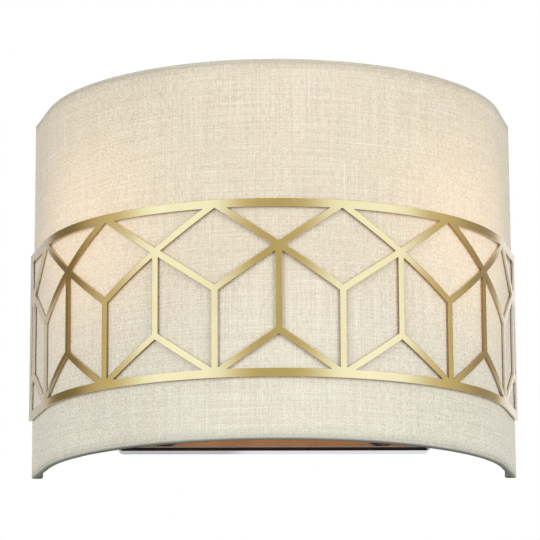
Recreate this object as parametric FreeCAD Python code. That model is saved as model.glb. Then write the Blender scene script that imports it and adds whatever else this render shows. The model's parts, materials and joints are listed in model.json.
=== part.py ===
"""Half-drum wall light: a linen shade with a gold lattice band, two lamps and a wall tray.

Frame: X to the right, Y towards the wall (the wall is the plane y = 0 and the room is on -Y), Z up.
The origin lies on the wall, at the middle of the shade's height. All sizes are millimetres.
"""
import FreeCAD
import Part
import math
import os

V = FreeCAD.Vector
X_AXIS = V(1, 0, 0)
Y_AXIS = V(0, 1, 0)
Z_AXIS = V(0, 0, 1)

# ---- Shade plan: a round front whose two sides run straight back to the wall, splayed outwards ----
SHADE_WIDTH = 250.0          # at the wall
SHADE_DEPTH = 125.0          # wall to front
SHADE_HEIGHT = 188.0
SIDE_SPLAY = math.radians(14.0)
SHADE_BACK = 1.5             # the shade's back ends stay this far off the wall

# ---- Shade make-up ----
RING_WIRE = 1.8              # diameter of the frame's ring wires
RIM_ROLL = 3.2               # outside diameter of the rolled rims
RIM_CLOTH = 0.4
COVER_RECESS = 0.4           # the cloth lies this far inside the rims' outer line
COVER_CLOTH = 0.5
LINER_SHEET = 0.4
SOFT_GAP = 0.3               # between cloth and what it lies beside
UPRIGHT_WIDTH = 4.4
UPRIGHT_SHEET = 1.0
WRAP_WIDTH = 5.8
WRAP_CLOTH = 0.4

# ---- Lattice band ----
BAND_GAP = 0.3               # outside the rims' outer line
BAND_SHEET = 1.0
BAND_CENTRE_Z = -20.2
ROW_HEIGHT = 20.8            # four equal rows between the rails' centre lines
ROWS = 4
COLUMN_STEP = 31.1           # along the band, from one column to the next
LAST_COLUMN = 6              # columns counted from the front centre
RAIL_WIDTH = 4.1
STRIP_WIDTH = 3.1
END_BAR_WIDTH = 4.0
MIN_WINDOW = 2.0             # a corner left between strips smaller than this stays closed
WINDOW_REACH = 12.0          # the window cutters run this far to each side of the band
BAND_WALL_GAP = 0.3
END_TAB_LENGTH = 7.0
END_TAB_HEIGHT = 12.0
RIVET_SHANK = 2.4
RIVET_HEAD = 4.6
RIVET_HEAD_HEIGHT = 0.3
RIVET_TAIL = 3.6
RIVET_TAIL_HEIGHT = 0.6

# ---- Wall tray ----
TRAY_WIDTH = 160.0
TRAY_HEIGHT = 162.0
TRAY_DEPTH = 13.0
TRAY_SHEET = 1.0
TRAY_CORNER = 2.5
TRAY_EDGE = 2.0

# ---- Wall bracket ----
STRAP_HEIGHT = 24.0
STRAP_SHEET = 2.0
STRAP_BEND = 3.0             # outside radius of the bends
TAB_TRAY_GAP = 1.0           # between the strap's tabs and the tray's front sheet
STRAP_TRAY_GAP = 0.3
SLOT_SPACING = 90.0
SLOT_LENGTH = 20.0
SLOT_WIDTH = 5.5
CABLE_HOLE = 12.0
BRACKET_SCREW = 4.0
BRACKET_SCREW_LENGTH = 8.0
SCREW_HEAD = 8.0
SCREW_HEAD_HEIGHT = 2.4
PAN_EDGE_SHARE = 0.3         # of a pan head's height, bevelled at its edge

# ---- Carrier bars, studs and thumb nuts ----
CARRIER_Z = 45.0             # above and below the middle
CARRIER_HEIGHT = 10.0
CARRIER_SHEET = 1.5
CARRIER_LAP = 8.0            # the bar's end lap, which starts on the upright
CARRIER_OVERHANG = 8.0       # the straight middle passes the tray by this much at each side
STUD_X = 28.0
STUD = 4.0
STUD_HEAD = 8.0
STUD_HEAD_HEIGHT = 0.8
STUD_END = 3.5               # past its thumb nut
NUT_DIAMETER = 12.0
NUT_HEIGHT = 6.0
NUT_COLLAR = 9.0
NUT_COLLAR_HEIGHT = 1.2

# ---- Lampholders ----
LAMP_X = 60.0                # each side of the middle
LAMP_Y = -52.0
HOLDER_Z = -60.0             # underside of the holder, on its bracket
LEG_WIDTH = 18.0
LEG_SHEET = 1.5
LEG_BEND = 2.6               # outside radius
FOOT_HEIGHT = 15.0
FOOT_RIVET_X = 5.0
FOOT_RIVET_DROP = 9.5
FOOT_RIVET = 3.2
FOOT_RIVET_HEAD = 5.6
FOOT_RIVET_HEAD_HEIGHT = 1.0
NIPPLE = 10.0
NIPPLE_BORE = 7.0
NIPPLE_DROP = 5.5            # below the holder
NIPPLE_RISE = 6.0            # into the holder
HEX_NUT_FLATS = 13.0
HEX_NUT_HEIGHT = 3.0
NIPPLE_WASHER = 16.0
WASHER_SHEET = 0.8
BASE_DIAMETER = 23.8
BASE_FLANGE = 26.8
BASE_FLANGE_HEIGHT = 3.0
BASE_HEIGHT = 14.0
BASE_DISC = 3.5
BASE_CAVITY = 17.0
SKIRT_HEIGHT = 39.0
SKIRT_WALL = 1.4
SKIRT_TAPER = 0.7            # the skirt's radius is this much less at its mouth
SKIRT_LIP = 1.6
SHELL_BORE = 14.0
SHELL_SHEET = 0.3
SHELL_HEIGHT = 19.0
SHELL_FOOT = 19.0
SHELL_FOOT_SHEET = 0.5
CONTACT_STRIP = 0.5
CONTACT_STRIP_WIDTH = 4.0
CONTACT_START = 5.0          # from the lamp's axis to the strip's fixed end
CONTACT_FOOT = 2.25          # flat on the base
CONTACT_RAMP = 1.5
CONTACT_TOP = 2.75           # level, under the bulb
CONTACT_TIP = 2.0            # turned half-way down
CONTACT_RISE = 2.7

# ---- Bulbs ----
CAP_CLEARANCE = 0.1          # screw cap inside the screw shell
CAP_LENGTH = 24.4
CAP_FLARE = 16.0
CAP_FLARE_HEIGHT = 3.0
CAP_FLARE_EDGE = 1.0
PIP_DIAMETER = 4.6
PIP_HEIGHT = 0.8
PIP_FACE = 2.8               # flat foot of the contact
PIP_EDGE = 0.4
INSULATOR_HEIGHT = 1.3
INSULATOR_LEDGE = 0.5        # shows round the contact
INSULATOR_DIAMETER = 11.6
HOUSING_HEIGHT = 20.5
HOUSING_SWELL_OUT = 0.42     # share of the way out at the bell curve's middle point
HOUSING_SWELL_UP = 0.56      # share of the way up at that point
GLOBE_DIAMETER = 45.0
GLOBE_WALL = 1.2
GLOBE_CUT = 8.5              # from the globe's centre down to its flat rim
BOARD_DIAMETER = 34.0
BOARD_SHEET = 1.6
CONTACT_GAP = 0.3            # between the bulb's contact and the holder's, at rest

# ---- Terminal block and earth ----
BLOCK_WIDTH = 32.0
BLOCK_HEIGHT = 18.0
BLOCK_TOP_Z = -34.0
BLOCK_WALL_GAP = 1.6
POLE_PITCH = 10.0
CLAMP_SIZE = 5.6
CLAMP_BORE = 3.2
MOUTH_DIAMETER = 5.4
MOUTH_DEPTH = 2.5
WIRE_SCREW = 2.6
WIRE_SCREW_HEAD = 4.0
WIRE_SCREW_HEAD_HEIGHT = 1.5
WIRE_SCREW_LENGTH = 3.6
BLOCK_SCREW = 3.0
BLOCK_SCREW_HEAD = 5.0
BLOCK_SCREW_HEAD_HEIGHT = 1.8
HEAD_SINK = 0.2              # heads lie this far under the block's face
EARTH_X = 22.0
TAG_SHEET = 0.8
TAG_RING = 8.4
TAG_NECK = 2.0
TAG_BARREL = 3.4
TAG_BARREL_LENGTH = 6.5
TAG_INSERT = 3.0
EARTH_WASHER = 9.0
EARTH_TURN = 5.9             # bend radius of the earth lead

# ---- Leads ----
CORE = 1.8                   # insulated core diameter
EARTH_CORE = 2.2
CORE_SPREAD = 1.3            # each side of a pair's middle
POLE_SPREAD = 1.2
LIVE_LAYER = 1.1             # live cores lie this far behind the terminal's axis, neutral before it
GROMMET_X = 44.0
GROMMET_Z = -71.0
GROMMET_HOLE = 9.0
GROMMET_FLANGE = 11.0
GROMMET_BORE = 5.4
GROMMET_LIP = 1.5
GROMMET_BACK_LIP = 0.75
LEAD_LOOP_DROP = 15.0        # the leads dip this far below the holder
LEAD_LEVEL_Y = -20.0         # from here the leads run square to the tray
LEAD_LOOP_TURN = 7.6         # bend radius under the holder
LEAD_RISE_TURN = 13.5        # before the bush
LEAD_TURN = 5.4              # behind the bush and under the terminal
LEAD_END_RUN = 11.9          # straight stretch into the terminal

# ---- Fits ----
THREAD_CLEARANCE = 0.05      # radial, between a thread and its hole
HOLE_CLEARANCE = 0.2         # radial, between a plain shank and its hole
SLIDE_CLEARANCE = 0.1        # radial, between plastic parts pushed together

# ---- Worked out from the sizes above ----
HALF_WIDTH = SHADE_WIDTH / 2
HALF_HEIGHT = SHADE_HEIGHT / 2
FRONT_RADIUS = ((HALF_WIDTH / math.tan(SIDE_SPLAY) - SHADE_DEPTH)
                / (1 / math.sin(SIDE_SPLAY) - 1))
ARC_CENTRE_Y = FRONT_RADIUS - SHADE_DEPTH
RIM_LINE = -RIM_ROLL / 2                         # offset of the ring wires and rims from the outer line
COVER_OUTER = -COVER_RECESS
COVER_INNER = COVER_OUTER - COVER_CLOTH
LINER_OUTER = COVER_INNER - SOFT_GAP
LINER_INNER = LINER_OUTER - LINER_SHEET
WRAP_DEPTH = UPRIGHT_SHEET + 2 * (WRAP_CLOTH + SOFT_GAP)
WRAP_FRONT = -SHADE_BACK - WRAP_DEPTH            # y of the wrap's front face
UPRIGHT_BACK = -SHADE_BACK - WRAP_CLOTH - SOFT_GAP
UPRIGHT_FRONT = UPRIGHT_BACK - UPRIGHT_SHEET
CLOTH_END = WRAP_FRONT - SOFT_GAP                # y where cover, liner and rims stop
CLOTH_TOP = HALF_HEIGHT - RIM_ROLL - SOFT_GAP
RING_Z = HALF_HEIGHT - RIM_ROLL / 2
BAND_INNER = BAND_GAP
BAND_OUTER = BAND_GAP + BAND_SHEET
BAND_MIDDLE = BAND_GAP + BAND_SHEET / 2
BAND_HALF_HEIGHT = ROWS * ROW_HEIGHT / 2
TRAY_FRONT = -TRAY_DEPTH
TRAY_INSIDE = TRAY_FRONT + TRAY_SHEET
TAB_DEPTH = TRAY_DEPTH - TRAY_SHEET - TAB_TRAY_GAP
STUD_REACH = CARRIER_SHEET + NUT_HEIGHT + STUD_END
SIDES = (-1, 1)
EPS = 1e-6


# ---- The shade's plan line and lines parallel to it ----

def tangent_point(offset):
    """Where the round front meets the straight right side, on the line at this offset."""
    radius = FRONT_RADIUS + offset
    return V(radius * math.cos(SIDE_SPLAY), ARC_CENTRE_Y - radius * math.sin(SIDE_SPLAY), 0)


def side_x(offset, y):
    """X of the right side's straight line at this depth."""
    start = tangent_point(offset)
    return start.x + (y - start.y) * math.tan(SIDE_SPLAY)


def mirrored(point):
    return V(-point.x, point.y, point.z)


def plan_edges(offset, end_y, z=0.0):
    """The plan line from its left end at the depth end_y, round the front, to its right end."""
    up = V(0, 0, z)
    end = V(side_x(offset, end_y), end_y, 0)
    start = tangent_point(offset)
    front = V(0, ARC_CENTRE_Y - FRONT_RADIUS - offset, 0)
    return [Part.LineSegment(mirrored(end) + up, mirrored(start) + up).toShape(),
            Part.Arc(mirrored(start) + up, front + up, start + up).toShape(),
            Part.LineSegment(start + up, end + up).toShape()]


def plan_wall(outer, inner, end_y, low, high):
    """An upright wall between two offsets of the plan line."""
    outside = plan_edges(outer, end_y, low)
    inside = plan_edges(inner, end_y, low)
    ends = []
    for index, vertex in ((0, 0), (2, 1)):
        ends.append(Part.LineSegment(outside[index].Vertexes[vertex].Point,
                                     inside[index].Vertexes[vertex].Point).toShape())
    wire = Part.Wire(Part.__sortEdges__(outside + inside + ends))
    return Part.Face(wire).extrude(V(0, 0, high - low))


def plan_tube(offset, z, radius, end_y):
    """A round bar along the plan line, cut off square to the wall's normal at end_y."""
    overrun = end_y + 2 * radius
    edges = plan_edges(offset, overrun, z)
    path = Part.Wire(edges)
    start = edges[0].Vertexes[0].Point
    along = edges[0].Vertexes[1].Point - start
    circle = Part.Wire(Part.makeCircle(radius, start, along))
    bar = path.makePipeShell([circle], True, False)
    reach = 4 * SHADE_WIDTH
    behind = Part.makeBox(reach, reach, reach, V(-reach / 2, end_y, -reach / 2))
    return bar.cut(behind)


def band_frame(s):
    """Point, direction and outward normal on the band's middle line, s from the front centre."""
    radius = FRONT_RADIUS + BAND_MIDDLE
    arc_length = radius * (math.pi / 2 - SIDE_SPLAY)
    turn = min(abs(s), arc_length) / radius
    rest = max(abs(s) - arc_length, 0.0)
    along = V(math.cos(turn), math.sin(turn), 0)
    outward = V(math.sin(turn), -math.cos(turn), 0)
    point = V(0, ARC_CENTRE_Y, 0) + outward * radius + along * rest
    if s < 0:
        return mirrored(point), V(along.x, -along.y, 0), mirrored(outward)
    return point, along, outward


def band_half_length():
    """Length of the band's middle line from the front centre to its end at the wall."""
    radius = FRONT_RADIUS + BAND_MIDDLE
    start = tangent_point(BAND_MIDDLE)
    straight = (-BAND_WALL_GAP - start.y) / math.cos(SIDE_SPLAY)
    return radius * (math.pi / 2 - SIDE_SPLAY) + straight


# ---- General shapes ----

def cylinder(radius, start, direction, length):
    return Part.makeCylinder(radius, length, start, direction)


def revolved(points, centre):
    """A turned piece: its outline in (radius, height), about the upright line through centre."""
    corners = [V(r, 0, z) for r, z in points]
    face = Part.Face(Part.makePolygon(corners + [corners[0]]))
    solid = face.revolve(V(0, 0, 0), Z_AXIS, 360)
    solid.translate(V(centre.x, centre.y, 0))
    return solid


def unit_normal(a, b):
    """Left-hand unit normal of the flat direction from a to b."""
    length = math.hypot(b[0] - a[0], b[1] - a[1])
    return (-(b[1] - a[1]) / length, (b[0] - a[0]) / length)


def moved_corner(a, b, c, first, second):
    """Corner b of the lines a-b and b-c, moved to their left by first and second."""
    n1 = unit_normal(a, b)
    n2 = unit_normal(b, c)
    cross = n1[0] * n2[1] - n1[1] * n2[0]
    if abs(cross) < EPS:
        return (b[0] + n1[0] * first, b[1] + n1[1] * first)
    d1 = n1[0] * b[0] + n1[1] * b[1] + first
    d2 = n2[0] * b[0] + n2[1] * b[1] + second
    return ((d1 * n2[1] - d2 * n1[1]) / cross, (n1[0] * d2 - n2[0] * d1) / cross)


def strip_outline(centre_line, sheet):
    """Outline of a folded strip whose middle follows centre_line, as flat points."""
    outline = []
    for side in (sheet / 2, -sheet / 2):
        row = []
        for i, point in enumerate(centre_line):
            before = centre_line[max(i - 1, 0)]
            after = centre_line[min(i + 1, len(centre_line) - 1)]
            if i in (0, len(centre_line) - 1):
                n = unit_normal(before, after)
                row.append((point[0] + n[0] * side, point[1] + n[1] * side))
            else:
                row.append(moved_corner(before, point, after, side, side))
        outline += row if side > 0 else row[::-1]
    return outline


def rounded_rectangle(width, height, corner, y):
    """A wire in the plane y, centred on the origin's height and width."""
    w = width / 2
    h = height / 2
    edges = []
    for sx, sz, start in ((1, 1, 0), (-1, 1, 90), (-1, -1, 180), (1, -1, 270)):
        centre = V(sx * (w - corner), y, sz * (h - corner))
        points = []
        for step in (0, 45, 90):
            angle = math.radians(start + step)
            points.append(centre + V(math.cos(angle), 0, math.sin(angle)) * corner)
        edges.append(points)
    shapes = []
    for i, points in enumerate(edges):
        shapes.append(Part.Arc(points[0], points[1], points[2]).toShape())
        shapes.append(Part.LineSegment(points[2], edges[(i + 1) % 4][0]).toShape())
    return Part.Wire(shapes)


def pressed_block(width, height, depth, corner, edge):
    """A block from the wall to y = -depth, with rounded corners and a rounded front edge."""
    block = Part.Face(rounded_rectangle(width, height, corner, 0)).extrude(V(0, -depth, 0))
    front = []
    for e in block.Edges:
        box = e.BoundBox
        if abs(box.YMin + depth) < EPS and abs(box.YMax + depth) < EPS:
            front.append(e)
    return block.makeFillet(edge, front)


def tube_route(points, radii):
    """A wire through the points: straight runs joined by tangent arcs of these radii."""
    edges = []
    start = points[0]
    for i in range(1, len(points) - 1):
        into = (points[i] - points[i - 1]).normalize()
        out = (points[i + 1] - points[i]).normalize()
        half_turn = math.acos(max(-1.0, min(1.0, into.dot(out)))) / 2
        cut = radii[i - 1] * math.tan(half_turn)
        first = points[i] - into * cut
        last = points[i] + out * cut
        inward = (out - into).normalize()
        centre = points[i] + inward * (radii[i - 1] / math.cos(half_turn))
        middle = centre - inward * radii[i - 1]
        edges.append(Part.LineSegment(start, first).toShape())
        edges.append(Part.Arc(first, middle, last).toShape())
        start = last
    edges.append(Part.LineSegment(start, points[-1]).toShape())
    return Part.Wire(edges)


def lead(points, radii, diameter):
    """A round core along a route, checked against its section times its length."""
    route = tube_route(points, radii)
    circle = Part.Wire(Part.makeCircle(diameter / 2, points[0], points[1] - points[0]))
    core = route.makePipeShell([circle], True, False)
    expected = math.pi * diameter ** 2 / 4 * route.Length
    print("lead length", round(route.Length, 1), "volume ratio", round(core.Volume / expected, 4))
    return core


def pan_screw(head, head_height, shank, length, seat, into):
    """A pan-head screw: its bevelled head stands on seat, its shank runs along into."""
    top = cylinder(head / 2, seat, into * -1, head_height)
    rim = [e for e in top.Edges if abs((e.BoundBox.Center - seat).dot(into) + head_height) < EPS]
    top = top.makeChamfer(head_height * PAN_EDGE_SHARE, rim)
    return top.fuse(cylinder(shank / 2, seat, into, length)).removeSplitter()


# ---- Lattice band ----

def node_point(column, row):
    """Flat place of a lattice node: length along the band, height."""
    return (column * COLUMN_STEP, BAND_CENTRE_Z + BAND_HALF_HEIGHT - row * ROW_HEIGHT)


def lattice_cells():
    """Cells of the tumbling-block pattern, each a loop of (column, row), anticlockwise."""
    cells = []
    for column in range(-LAST_COLUMN - 1, LAST_COLUMN + 2):
        left = column - 1
        right = column + 1
        if column % 2:
            cells.append([(column, 0), (left, 1), (column, 2), (right, 1)])
            cells.append([(left, 1), (left, 3), (column, 4), (column, 2)])
            cells.append([(column, 2), (column, 4), (right, 3), (right, 1)])
        else:
            cells.append([(right, 0), (left, 0), (column, 1)])
            cells.append([(left, 4), (right, 4), (column, 3)])
    return cells


def half_bar(first, second):
    """Half the width of the bar that runs between two neighbouring nodes."""
    on_rail = first[1] == second[1] and first[1] in (0, ROWS)
    return (RAIL_WIDTH if on_rail else STRIP_WIDTH) / 2


def cell_window(cell):
    """The opening that the bars leave in a cell, as flat points."""
    count = len(cell)
    points = [node_point(*node) for node in cell]
    window = []
    for i in range(count):
        before = points[i - 1]
        after = points[(i + 1) % count]
        first = half_bar(cell[i - 1], cell[i])
        second = half_bar(cell[i], cell[(i + 1) % count])
        window.append(moved_corner(before, points[i], after, first, second))
    return window


def clipped(window, limit, side):
    """The part of a window that stays inside the end bar on this side."""
    kept = []
    for i, point in enumerate(window):
        following = window[(i + 1) % len(window)]
        inside = side * point[0] <= limit
        if inside:
            kept.append(point)
        if inside != (side * following[0] <= limit):
            share = (side * limit - point[0]) / (following[0] - point[0])
            kept.append((side * limit, point[1] + share * (following[1] - point[1])))
    return kept


def window_span(window):
    """The shorter of a window's two extents."""
    across = [p[0] for p in window]
    up = [p[1] for p in window]
    return min(max(across) - min(across), max(up) - min(up))


def window_prism(window):
    """A cutter through the band for one window, square to the band at the window's middle."""
    across = [p[0] for p in window]
    middle = (max(across) + min(across)) / 2
    origin, along, outward = band_frame(middle)
    corners = []
    for s, z in window:
        place = (band_frame(s)[0] - origin).dot(along)
        corners.append(origin + along * place + V(0, 0, z) - outward * WINDOW_REACH)
    face = Part.Face(Part.makePolygon(corners + [corners[0]]))
    return face.extrude(outward * 2 * WINDOW_REACH)


def rivet_places():
    """Middles of the band's end tabs, on the band's back plane."""
    x = upright_outer_x() - UPRIGHT_WIDTH / 2
    height = BAND_HALF_HEIGHT - END_TAB_HEIGHT / 2
    places = []
    for side in SIDES:
        for level in (height, -height):
            places.append(V(side * x, -BAND_WALL_GAP, BAND_CENTRE_Z + level))
    return places


def lattice_band():
    """The laser-cut band with its windows, and tabs turned in behind the shade's ends."""
    low = BAND_CENTRE_Z - BAND_HALF_HEIGHT - RAIL_WIDTH / 2
    high = BAND_CENTRE_Z + BAND_HALF_HEIGHT + RAIL_WIDTH / 2
    band = plan_wall(BAND_OUTER, BAND_INNER, -BAND_WALL_GAP, low, high)
    limit = band_half_length() - END_BAR_WIDTH
    cutters = []
    for cell in lattice_cells():
        window = cell_window(cell)
        for side in SIDES:
            if window:
                window = clipped(window, limit, side)
        if len(window) > 2 and window_span(window) >= MIN_WINDOW:
            cutters.append(window_prism(window))
    band = band.cut(cutters)
    for place in rivet_places():
        outer = side_x(BAND_MIDDLE, -BAND_WALL_GAP)
        side = 1 if place.x > 0 else -1
        start = V(min(side * outer, side * (outer - END_TAB_LENGTH)), -BAND_WALL_GAP - BAND_SHEET,
                  place.z - END_TAB_HEIGHT / 2)
        tab = Part.makeBox(END_TAB_LENGTH, BAND_SHEET, END_TAB_HEIGHT, start)
        band = band.fuse(tab)
    band = band.removeSplitter()
    for place in rivet_places():
        radius = RIVET_SHANK / 2 + HOLE_CLEARANCE
        band = band.cut(cylinder(radius, place, Y_AXIS * -1, 2 * BAND_SHEET))
    return band


def band_rivets():
    """Rivets from the band's tabs through the wraps' backs and the uprights."""
    rivets = []
    length = -UPRIGHT_FRONT - BAND_WALL_GAP
    into = Y_AXIS * -1
    for place in rivet_places():
        head = cylinder(RIVET_HEAD / 2, place, Y_AXIS, RIVET_HEAD_HEIGHT)
        shank = cylinder(RIVET_SHANK / 2, place, into, length)
        tail = cylinder(RIVET_TAIL / 2, place + into * length, into, RIVET_TAIL_HEIGHT)
        rivets.append(head.fuse([shank, tail]).removeSplitter())
    return Part.makeCompound(rivets)


# ---- Shade ----

def upright_outer_x():
    """X of the upright's outer edge, inside the wrap."""
    return side_x(0, UPRIGHT_FRONT) - WRAP_CLOTH - SOFT_GAP


def upright(side):
    """Flat end strip of the frame, to which rings and carriers are welded."""
    outer = upright_outer_x()
    half = HALF_HEIGHT - WRAP_CLOTH - SOFT_GAP
    start = V(min(side * outer, side * (outer - UPRIGHT_WIDTH)), UPRIGHT_FRONT, -half)
    strip = Part.makeBox(UPRIGHT_WIDTH, UPRIGHT_SHEET, 2 * half, start)
    return strip.cut(rivet_holes(RIVET_SHANK / 2 + HOLE_CLEARANCE, side, 0))


def rivet_holes(radius, side, start_y):
    """Cutters round this side's rivets, from this depth forwards."""
    cutters = []
    for place in rivet_places():
        if place.x * side > 0:
            start = V(place.x, start_y, place.z)
            cutters.append(cylinder(radius, start, Y_AXIS * -1, 2 * WRAP_DEPTH))
    return cutters


def ring(z):
    """Ring wire, butted against the front faces of the uprights."""
    return plan_tube(RIM_LINE, z, RING_WIRE / 2, UPRIGHT_FRONT)


def rim(z):
    """Rolled cloth rim round a ring wire."""
    outside = plan_tube(RIM_LINE, z, RIM_ROLL / 2, CLOTH_END)
    inside = plan_tube(RIM_LINE, z, RIM_ROLL / 2 - RIM_CLOTH, CLOTH_END + RIM_CLOTH)
    return outside.cut(inside)


def wrap_prism(side, back, front, inset, half_height):
    """A slanted upright prism of the wrap's section, drawn in by inset."""
    corners = []
    for y, depth in ((back, inset), (front, inset)):
        corners.append(V(side * (side_x(0, y) - depth), y, -half_height))
    for y in (front, back):
        corners.append(V(side * (side_x(0, y) - WRAP_WIDTH + inset), y, -half_height))
    face = Part.Face(Part.makePolygon(corners + [corners[0]]))
    return face.extrude(V(0, 0, 2 * half_height))


def end_wrap(side):
    """Linen folded round the shade's back end, with gaps for wires, carriers and rivets."""
    outside = wrap_prism(side, -SHADE_BACK, WRAP_FRONT, 0, HALF_HEIGHT)
    inside = wrap_prism(side, -SHADE_BACK - WRAP_CLOTH, WRAP_FRONT + WRAP_CLOTH, WRAP_CLOTH,
                        HALF_HEIGHT - WRAP_CLOTH)
    wrap = outside.cut(inside)
    x = side * side_x(RIM_LINE, WRAP_FRONT)
    for z in (RING_Z, -RING_Z):
        start = V(x, WRAP_FRONT - SOFT_GAP, z)
        wrap = wrap.cut(cylinder(RING_WIRE / 2 + SOFT_GAP, start, Y_AXIS, WRAP_DEPTH / 2))
    for z in (CARRIER_Z, -CARRIER_Z):
        slot = Part.makeBox(2 * WRAP_WIDTH, WRAP_DEPTH / 2 + SOFT_GAP, CARRIER_HEIGHT + 2 * SOFT_GAP,
                            V(x - WRAP_WIDTH, WRAP_FRONT - SOFT_GAP, z - CARRIER_HEIGHT / 2 - SOFT_GAP))
        wrap = wrap.cut(slot)
    holes = rivet_holes(RIVET_SHANK / 2 + SOFT_GAP, side, 0)
    holes += rivet_holes(RIVET_TAIL / 2 + SOFT_GAP, side, UPRIGHT_BACK)
    return wrap.cut(holes)


def carrier(z):
    """Bent steel bar from one upright, over the tray's front, to the other upright."""
    lap_y = UPRIGHT_FRONT - CARRIER_SHEET / 2
    flat_y = TRAY_FRONT - CARRIER_SHEET / 2
    lap_end = side_x(LINER_INNER, lap_y - CARRIER_SHEET) - SOFT_GAP
    flat_end = TRAY_WIDTH / 2 + CARRIER_OVERHANG
    line = [(-lap_end, lap_y), (-lap_end + CARRIER_LAP, lap_y), (-flat_end, flat_y)]
    line += [(-x, y) for x, y in line[::-1]]
    low = z - CARRIER_HEIGHT / 2
    corners = [V(x, y, low) for x, y in strip_outline(line, CARRIER_SHEET)]
    bar = Part.Face(Part.makePolygon(corners + [corners[0]])).extrude(V(0, 0, CARRIER_HEIGHT))
    for side in SIDES:
        start = V(side * STUD_X, TRAY_FRONT, z)
        bar = bar.cut(cylinder(STUD / 2 + HOLE_CLEARANCE, start, Y_AXIS * -1, 2 * CARRIER_SHEET))
    return bar


def stud_places():
    places = []
    for x in (-STUD_X, STUD_X):
        for z in (-CARRIER_Z, CARRIER_Z):
            places.append(V(x, TRAY_FRONT, z))
    return places


def shade_studs():
    """Studs welded through the tray's front, with flat heads inside it."""
    studs = []
    for place in stud_places():
        inside = place + V(0, TRAY_SHEET, 0)
        head = cylinder(STUD_HEAD / 2, inside, Y_AXIS, STUD_HEAD_HEIGHT)
        shank = cylinder(STUD / 2, inside, Y_AXIS * -1, TRAY_SHEET + STUD_REACH)
        studs.append(head.fuse(shank).removeSplitter())
    return Part.makeCompound(studs)


def thumb_nuts():
    """Knurled nuts with a turned-down collar, seated on the carriers."""
    nuts = []
    into = Y_AXIS * -1
    for place in stud_places():
        seat = place + into * CARRIER_SHEET
        collar = cylinder(NUT_COLLAR / 2, seat, into, NUT_COLLAR_HEIGHT)
        grip = cylinder(NUT_DIAMETER / 2, seat + into * NUT_COLLAR_HEIGHT, into,
                        NUT_HEIGHT - NUT_COLLAR_HEIGHT)
        bore = cylinder(STUD / 2 + THREAD_CLEARANCE, place, into, CARRIER_SHEET + 2 * NUT_HEIGHT)
        nuts.append(collar.fuse(grip).removeSplitter().cut(bore))
    return Part.makeCompound(nuts)


# ---- Wall tray and bracket ----

def foot_rivet_places():
    places = []
    for side in SIDES:
        for x in (-FOOT_RIVET_X, FOOT_RIVET_X):
            places.append(V(side * LAMP_X + x, TRAY_FRONT, HOLDER_Z - FOOT_RIVET_DROP))
    return places


def block_screw_places():
    z = BLOCK_TOP_Z - BLOCK_HEIGHT / 2
    return [V(x, 0, z) for x in (-POLE_PITCH / 2, POLE_PITCH / 2)]


def bracket_screw_y():
    return -(STRAP_SHEET + TAB_DEPTH) / 2


def wall_tray():
    """Polished sheet-steel tray, open to the wall, with small round edges and its holes."""
    outside = pressed_block(TRAY_WIDTH, TRAY_HEIGHT, TRAY_DEPTH, TRAY_CORNER, TRAY_EDGE)
    inside = pressed_block(TRAY_WIDTH - 2 * TRAY_SHEET, TRAY_HEIGHT - 2 * TRAY_SHEET,
                           TRAY_DEPTH - TRAY_SHEET, TRAY_CORNER - TRAY_SHEET, TRAY_EDGE - TRAY_SHEET)
    tray = outside.cut(inside)
    holes = []
    through = 2 * TRAY_SHEET
    for place in stud_places():
        holes.append((place, STUD / 2 + THREAD_CLEARANCE))
    for place in foot_rivet_places():
        holes.append((place, FOOT_RIVET / 2 + HOLE_CLEARANCE))
    for place in block_screw_places():
        holes.append((place + V(0, TRAY_FRONT, 0), BLOCK_SCREW / 2 + THREAD_CLEARANCE))
    for side in SIDES:
        holes.append((V(side * GROMMET_X, TRAY_FRONT, GROMMET_Z), GROMMET_HOLE / 2))
    cutters = [cylinder(radius, place - Y_AXIS * TRAY_SHEET / 2, Y_AXIS, through)
               for place, radius in holes]
    start = V(-TRAY_WIDTH, bracket_screw_y(), 0)
    cutters.append(cylinder(BRACKET_SCREW / 2 + HOLE_CLEARANCE, start, X_AXIS, 2 * TRAY_WIDTH))
    return tray.cut(cutters)


def wall_bracket():
    """Steel strap on the wall with two slots, a cable hole and a bent tab at each end."""
    reach = TRAY_WIDTH / 2 - TRAY_SHEET - STRAP_TRAY_GAP
    outer = Part.makeBox(2 * reach, TAB_DEPTH, STRAP_HEIGHT, V(-reach, -TAB_DEPTH, -STRAP_HEIGHT / 2))
    inner_reach = reach - STRAP_SHEET
    inner = Part.makeBox(2 * inner_reach, TAB_DEPTH, STRAP_HEIGHT,
                         V(-inner_reach, -TAB_DEPTH - STRAP_SHEET, -STRAP_HEIGHT / 2))
    outer = outer.makeFillet(STRAP_BEND, upright_edges(outer, 0))
    inner = inner.makeFillet(STRAP_BEND - STRAP_SHEET, upright_edges(inner, -STRAP_SHEET))
    strap = outer.cut(inner)
    cutters = []
    for side in SIDES:
        cutters.append(slot_cutter(V(side * SLOT_SPACING / 2, 0, 0)))
    cutters.append(cylinder(CABLE_HOLE / 2, V(0, STRAP_SHEET, 0), Y_AXIS * -1, 3 * STRAP_SHEET))
    cutters.append(cylinder(STUD / 2 + THREAD_CLEARANCE, V(EARTH_X, STRAP_SHEET, 0), Y_AXIS * -1,
                            3 * STRAP_SHEET))
    start = V(-TRAY_WIDTH, bracket_screw_y(), 0)
    cutters.append(cylinder(BRACKET_SCREW / 2 + THREAD_CLEARANCE, start, X_AXIS, 2 * TRAY_WIDTH))
    return strap.cut(cutters)


def upright_edges(block, y):
    """The block's upright edges at this depth."""
    found = []
    for e in block.Edges:
        box = e.BoundBox
        if box.ZLength > EPS and abs(box.YMin - y) < EPS and abs(box.YMax - y) < EPS:
            found.append(e)
    return found


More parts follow.
